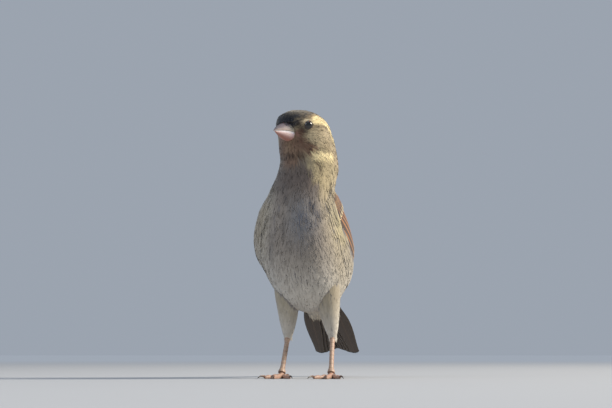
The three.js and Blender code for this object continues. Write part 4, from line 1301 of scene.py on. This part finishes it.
# Middle lines of the tail feathers: root + along * u * length + above * rise + a sideways spread * x,
# where x is the feather's place in the fan, from -1 to 1.
def tailLines():
    pitch = math.radians(tail["pitch"])
    along = np.array([0, math.cos(pitch), -math.sin(pitch)])
    above = np.array([0, math.sin(pitch), math.cos(pitch)])
    root = sectionAt(np.array(3.0))[0]
    side = np.repeat([1, -1], 6)
    order = np.tile(np.arange(6), 2)
    x = side * (order + 0.45) / 6.2
    u = np.linspace(0, 1, 11)
    corner = np.clip((np.abs(x) - 0.7) / 0.3, 0, 1)
    length = tail["length"] - tail["notch"] * (1 - np.abs(x) ** 1.3) - tail["corner"] * corner**2.5
    out = mix(tail["halfRoot"], tail["halfTip"] - 1.6, u**0.8) * x[:, None]
    rise = tail["crown"] * (1 - x[:, None] ** 2) * u + mix(0.9, 0.35, u) - 0.2 * order[:, None]
    path = root + along * (u * length[:, None])[..., None] + above * rise[..., None]
    path = path + np.array([1, 0, 0]) * out[..., None]
    return path, np.broadcast_to(above, path.shape).copy(), side, order


path, normals, side, order = tailLines()
many = len(side)
tailFinish = featherFinish("tail feathers", pitch=0.36, slant=38, under=(70, 64, 62), underTo=0.05,
                           barbDepth=0.2, shaft=0.8, roughness=0.6, sheen=0.15)
tone = 1 + luck.normal(0, 0.05, many)[:, None]
shape = {"half": 4.0, "thick": 0.3, "depth": 0.0, "lift": 0.0, "camber": 0.04, "round": 0.035, "tip": 0.62,
         "base": 0.5, "fringe": 0.01, "bow": 0.0, "tilt": 0.18 * side}
atlas = np.stack([np.arange(many) / many, np.zeros(many)], -1)
made = featherPiece("tail_vanes", tailFinish, path, normals, shape,
                    (paint(70, 57, 46) * tone, paint(116, 96, 74) * tone), np.full(many, 0.11),
                    luck.uniform(0, 1, many), (atlas, np.array([0.98 / many, 0.999])), (20, 10), 0.985)
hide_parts("tail")
print("tail ready")


# The scales' creases carry painted shade, and the underside is a little paler.
legFinish = Finish("scaled leg skin", Roughness=0.5, Specular_IOR_Level=0.45, Subsurface_Weight=0.08,
                   Subsurface_Scale=0.0008)
ringAt, underAt, _ = legFinish.parts(legFinish.attribute("scale")["Vector"])
spots = legFinish.noise(700.0, 3.0, 0.6)
crease = ringAt.step(0.24, 0.0)
colour = legFinish.blend(spots, paint(150, 118, 102), paint(178, 146, 128))
colour = legFinish.blend(underAt, colour, paint(168, 142, 122))
colour = legFinish.blend(crease * 0.5, colour, paint(96, 72, 60))
legFinish.feed(Base_Color=colour, Normal=legFinish.bump(spots, 0.0001, 0.5))
clawFinish = Finish("claw horn", Roughness=0.3, Specular_IOR_Level=0.5)
reach, _, _ = clawFinish.parts(clawFinish.attribute("scale")["Vector"])
grain = clawFinish.noise(900.0, 3.0, 0.6)
darker = (reach + (grain - 0.5) * 0.3).step(0.1, 0.9)
colour = clawFinish.blend(darker, paint(104, 78, 66), paint(38, 28, 24))
clawFinish.feed(Base_Color=colour, Normal=clawFinish.bump(grain, 0.00005, 0.4))


# A tube along a straight or curved path with scale rings: mark is the distance from the nearest
# crease and how far round underneath a point is.
def limbPiece(name, finish, path, wideDirection, wide, deep, marks, around=24, flat=False):
    tangent = unit(np.gradient(path, axis=0))
    side = unit(wideDirection - tangent * dot(tangent, np.broadcast_to(wideDirection, tangent.shape)))
    over = np.cross(tangent, side)
    points = tubePoints(path, side, over, wide[:, None], deep[:, None], around)
    if flat:
        points[:, 2] = np.maximum(points[:, 2], 0)
    turn = np.arange(around) * 2 * np.pi / around
    under = np.broadcast_to(np.clip(-np.sin(turn), 0, 1), (len(path), around))
    mark = vec(np.broadcast_to(marks[:, None], under.shape), under, 0).reshape(-1, 3)
    mark = np.concatenate([mark, [[0.5, 0, 0], [1, 0, 0]]])
    return makePiece(name, points, tubeFaces(len(path), around), finish, None, {"scale": mark})


# One leg: the shank is a tube from foot to heel with a knob at each end, each toe a tube along the
# floor with pads, and each claw a quadratic curve that comes down to the floor.
def addLeg(sign, word):
    foot, heel = legPlace("foot", sign), legPlace("heel", sign)
    share = np.linspace(0, 1, 150)
    path = foot + (heel - foot) * share[:, None]
    knob = legs["knob"] * (np.exp(-((share / 0.1) ** 2)) + 0.55 * np.exp(-(((1 - share) / 0.12) ** 2)))
    saw = (share * legs["shankScales"]) % 1
    ridge = 0.1 * np.sqrt(np.sin(np.pi * saw)) - 0.05
    wide = legs["shankWide"] + 0.45 * knob + ridge
    deep = legs["shankDeep"] + 0.45 * knob + ridge
    crease = np.minimum(saw, 1 - saw) * 2
    shank = limbPiece("shank_" + word, legFinish.material, path, np.array([1.0, 0, 0]), wide,
                      deep, crease)
    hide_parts("tarsus_" + word)
    up = np.array([0, 0, 1])
    joint = foot * np.array([1, 1, 0])
    for name, (turnAngle, length, radius, claw) in toes.items():
        turn = math.radians(-sign * turnAngle)
        heading = np.array([-math.sin(turn), -math.cos(turn), 0])
        aside = np.array([-heading[1], heading[0], 0])
        share = np.linspace(0, 1, 110)
        saw = (share * length / legs["toeScale"]) % 1
        pads = 1 + 0.12 * np.cos(2 * np.pi * legs["pads"] * share)
        rounded = np.sqrt(np.clip(1 - ((share - 0.94) / 0.06).clip(0, 1) ** 2 * 0.6, 0, 1))
        size = radius * mix(1.12, 0.74, share) * pads * rounded
        ridge = 0.06 * np.sqrt(np.sin(np.pi * saw))
        high = size * 0.82 + (1 - smooth(share, 0, 0.3)) * 0.5
        path = joint + heading * (share * (length + 0.3))[:, None] + up * high[:, None]
        toe = limbPiece("digit_" + word + "_" + name, legFinish.material, path, aside,
                        0.9 * size + ridge, size + ridge, np.minimum(saw, 1 - saw) * 2, flat=True)
        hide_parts("toe_" + word + "_" + name)
        start = joint + heading * (length - 0.2) + np.array([0, 0, radius * 0.8])
        reach = claw + 0.8
        u = np.linspace(0, 1, 26)[:, None]
        a, b = start, start + heading * reach * 0.6 + up * reach * 0.22
        c = (start + heading * reach) * np.array([1, 1, 0]) + up * legs["clawTip"]
        arc = a * (1 - u) ** 2 + 2 * b * u * (1 - u) + c * u**2
        size = mix(radius * 0.62, 0.14, u[:, 0])
        horn = limbPiece("nail_" + word + "_" + name, clawFinish.material, arc, aside,
                         0.72 * size, size, u[:, 0], around=16, flat=True)
        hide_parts("claw_" + word + "_" + name)


for sign, word in bothSides:
    addLeg(sign, word)
print("legs ready")


# A round floor, which is the stage and no piece of the bird.
floorMesh = bpy.data.meshes.new("floor")
floorRadius, floorCorners = 6, 64  # the radius is in metres
turn = np.arange(floorCorners) * 2 * np.pi / floorCorners
rim = np.stack([floorRadius * np.cos(turn), floorRadius * np.sin(turn), 0 * turn], -1)
floorMesh.from_pydata(rim.tolist(), [], [list(range(floorCorners))])
floor = addObject("floor", floorMesh)
roomColour, roomStrength = (0.66, 0.74, 0.86), 0.5
floorFinish = Finish("pale floor", Roughness=0.8, Specular_IOR_Level=0.1, Emission_Strength=roomStrength)
reach = floorFinish.node("ShaderNodeVectorMath", {"operation": "LENGTH"}, {0: floorFinish.place()})["Value"]
far = reach.step(0.3, 1.8)  # far away the floor takes the room's colour, so that no horizon shows
floorFinish.feed(
    Base_Color=floorFinish.blend(far, (0.38, 0.39, 0.41), (0.0, 0.0, 0.0)),
    Emission_Color=floorFinish.blend(far, (0.0, 0.0, 0.0), roomColour),
)
floorMesh.materials.append(floorFinish.material)

world = bpy.data.worlds.new("pale room")
bpy.context.scene.world = world
world.use_nodes = True
world.node_tree.nodes["Background"].inputs["Color"].default_value = (*roomColour, 1)
world.node_tree.nodes["Background"].inputs["Strength"].default_value = roomStrength


# A round area light that faces the bird from an azimuth and an elevation.
def addLight(name, azimuth, elevation, distance, size, power, colour):
    a, e = math.radians(azimuth), math.radians(elevation)
    out = np.array([math.sin(a) * math.cos(e), -math.cos(a) * math.cos(e), math.sin(e)])
    data = bpy.data.lights.new(name, "AREA")
    data.shape = "DISK"
    data.size = size
    data.energy = power
    data.color = colour
    light = addObject(name, data)
    place = np.array([0, -0.02, 0.07]) + out * distance
    light.location = place
    light.rotation_mode = "QUATERNION"
    light.rotation_quaternion = Vector(out).to_track_quat("Z", "Y")


# Angles are in degrees, distances and sizes in metres, powers in watts.
lights = {
    "key": {"azimuth": 97, "elevation": 32, "distance": 2.6, "size": 0.8, "power": 116,
            "colour": (1.0, 0.92, 0.79)},
    "fill": {"azimuth": -35, "elevation": 30, "distance": 1.3, "size": 0.9, "power": 4.5,
             "colour": (0.8, 0.88, 1.0)},
    "top": {"azimuth": 20, "elevation": 80, "distance": 1.3, "size": 0.8, "power": 3,
            "colour": (0.85, 0.92, 1.0)},
}
for name, plan in lights.items():
    addLight(name, **plan)

# The camera's place and aim in millimetres, how wide it sees there, and its sensor's width.
camera = {
    "azimuth": 12, "distance": 750, "height": 12, "target": (2.2, -30, 80), "width": 281.5, "sensor": 36,
}
data = bpy.data.cameras.new("camera")
data.sensor_width = camera["sensor"]
data.lens = camera["sensor"] * camera["distance"] / camera["width"]
data.clip_end = 20
cameraObject = addObject("camera", data)
bpy.context.scene.camera = cameraObject
target = np.array(camera["target"], float)
rise = (camera["height"] - target[2]) / camera["distance"]
flat = math.sqrt(1 - rise * rise)
azimuth = math.radians(camera["azimuth"])
back = np.array([math.sin(azimuth) * flat, -math.cos(azimuth) * flat, rise])
cameraObject.location = (target + back * camera["distance"]) * mm
cameraObject.rotation_mode = "QUATERNION"
cameraObject.rotation_quaternion = Vector(back).to_track_quat("Z", "Y")
bpy.context.scene.view_settings.view_transform = "Standard"
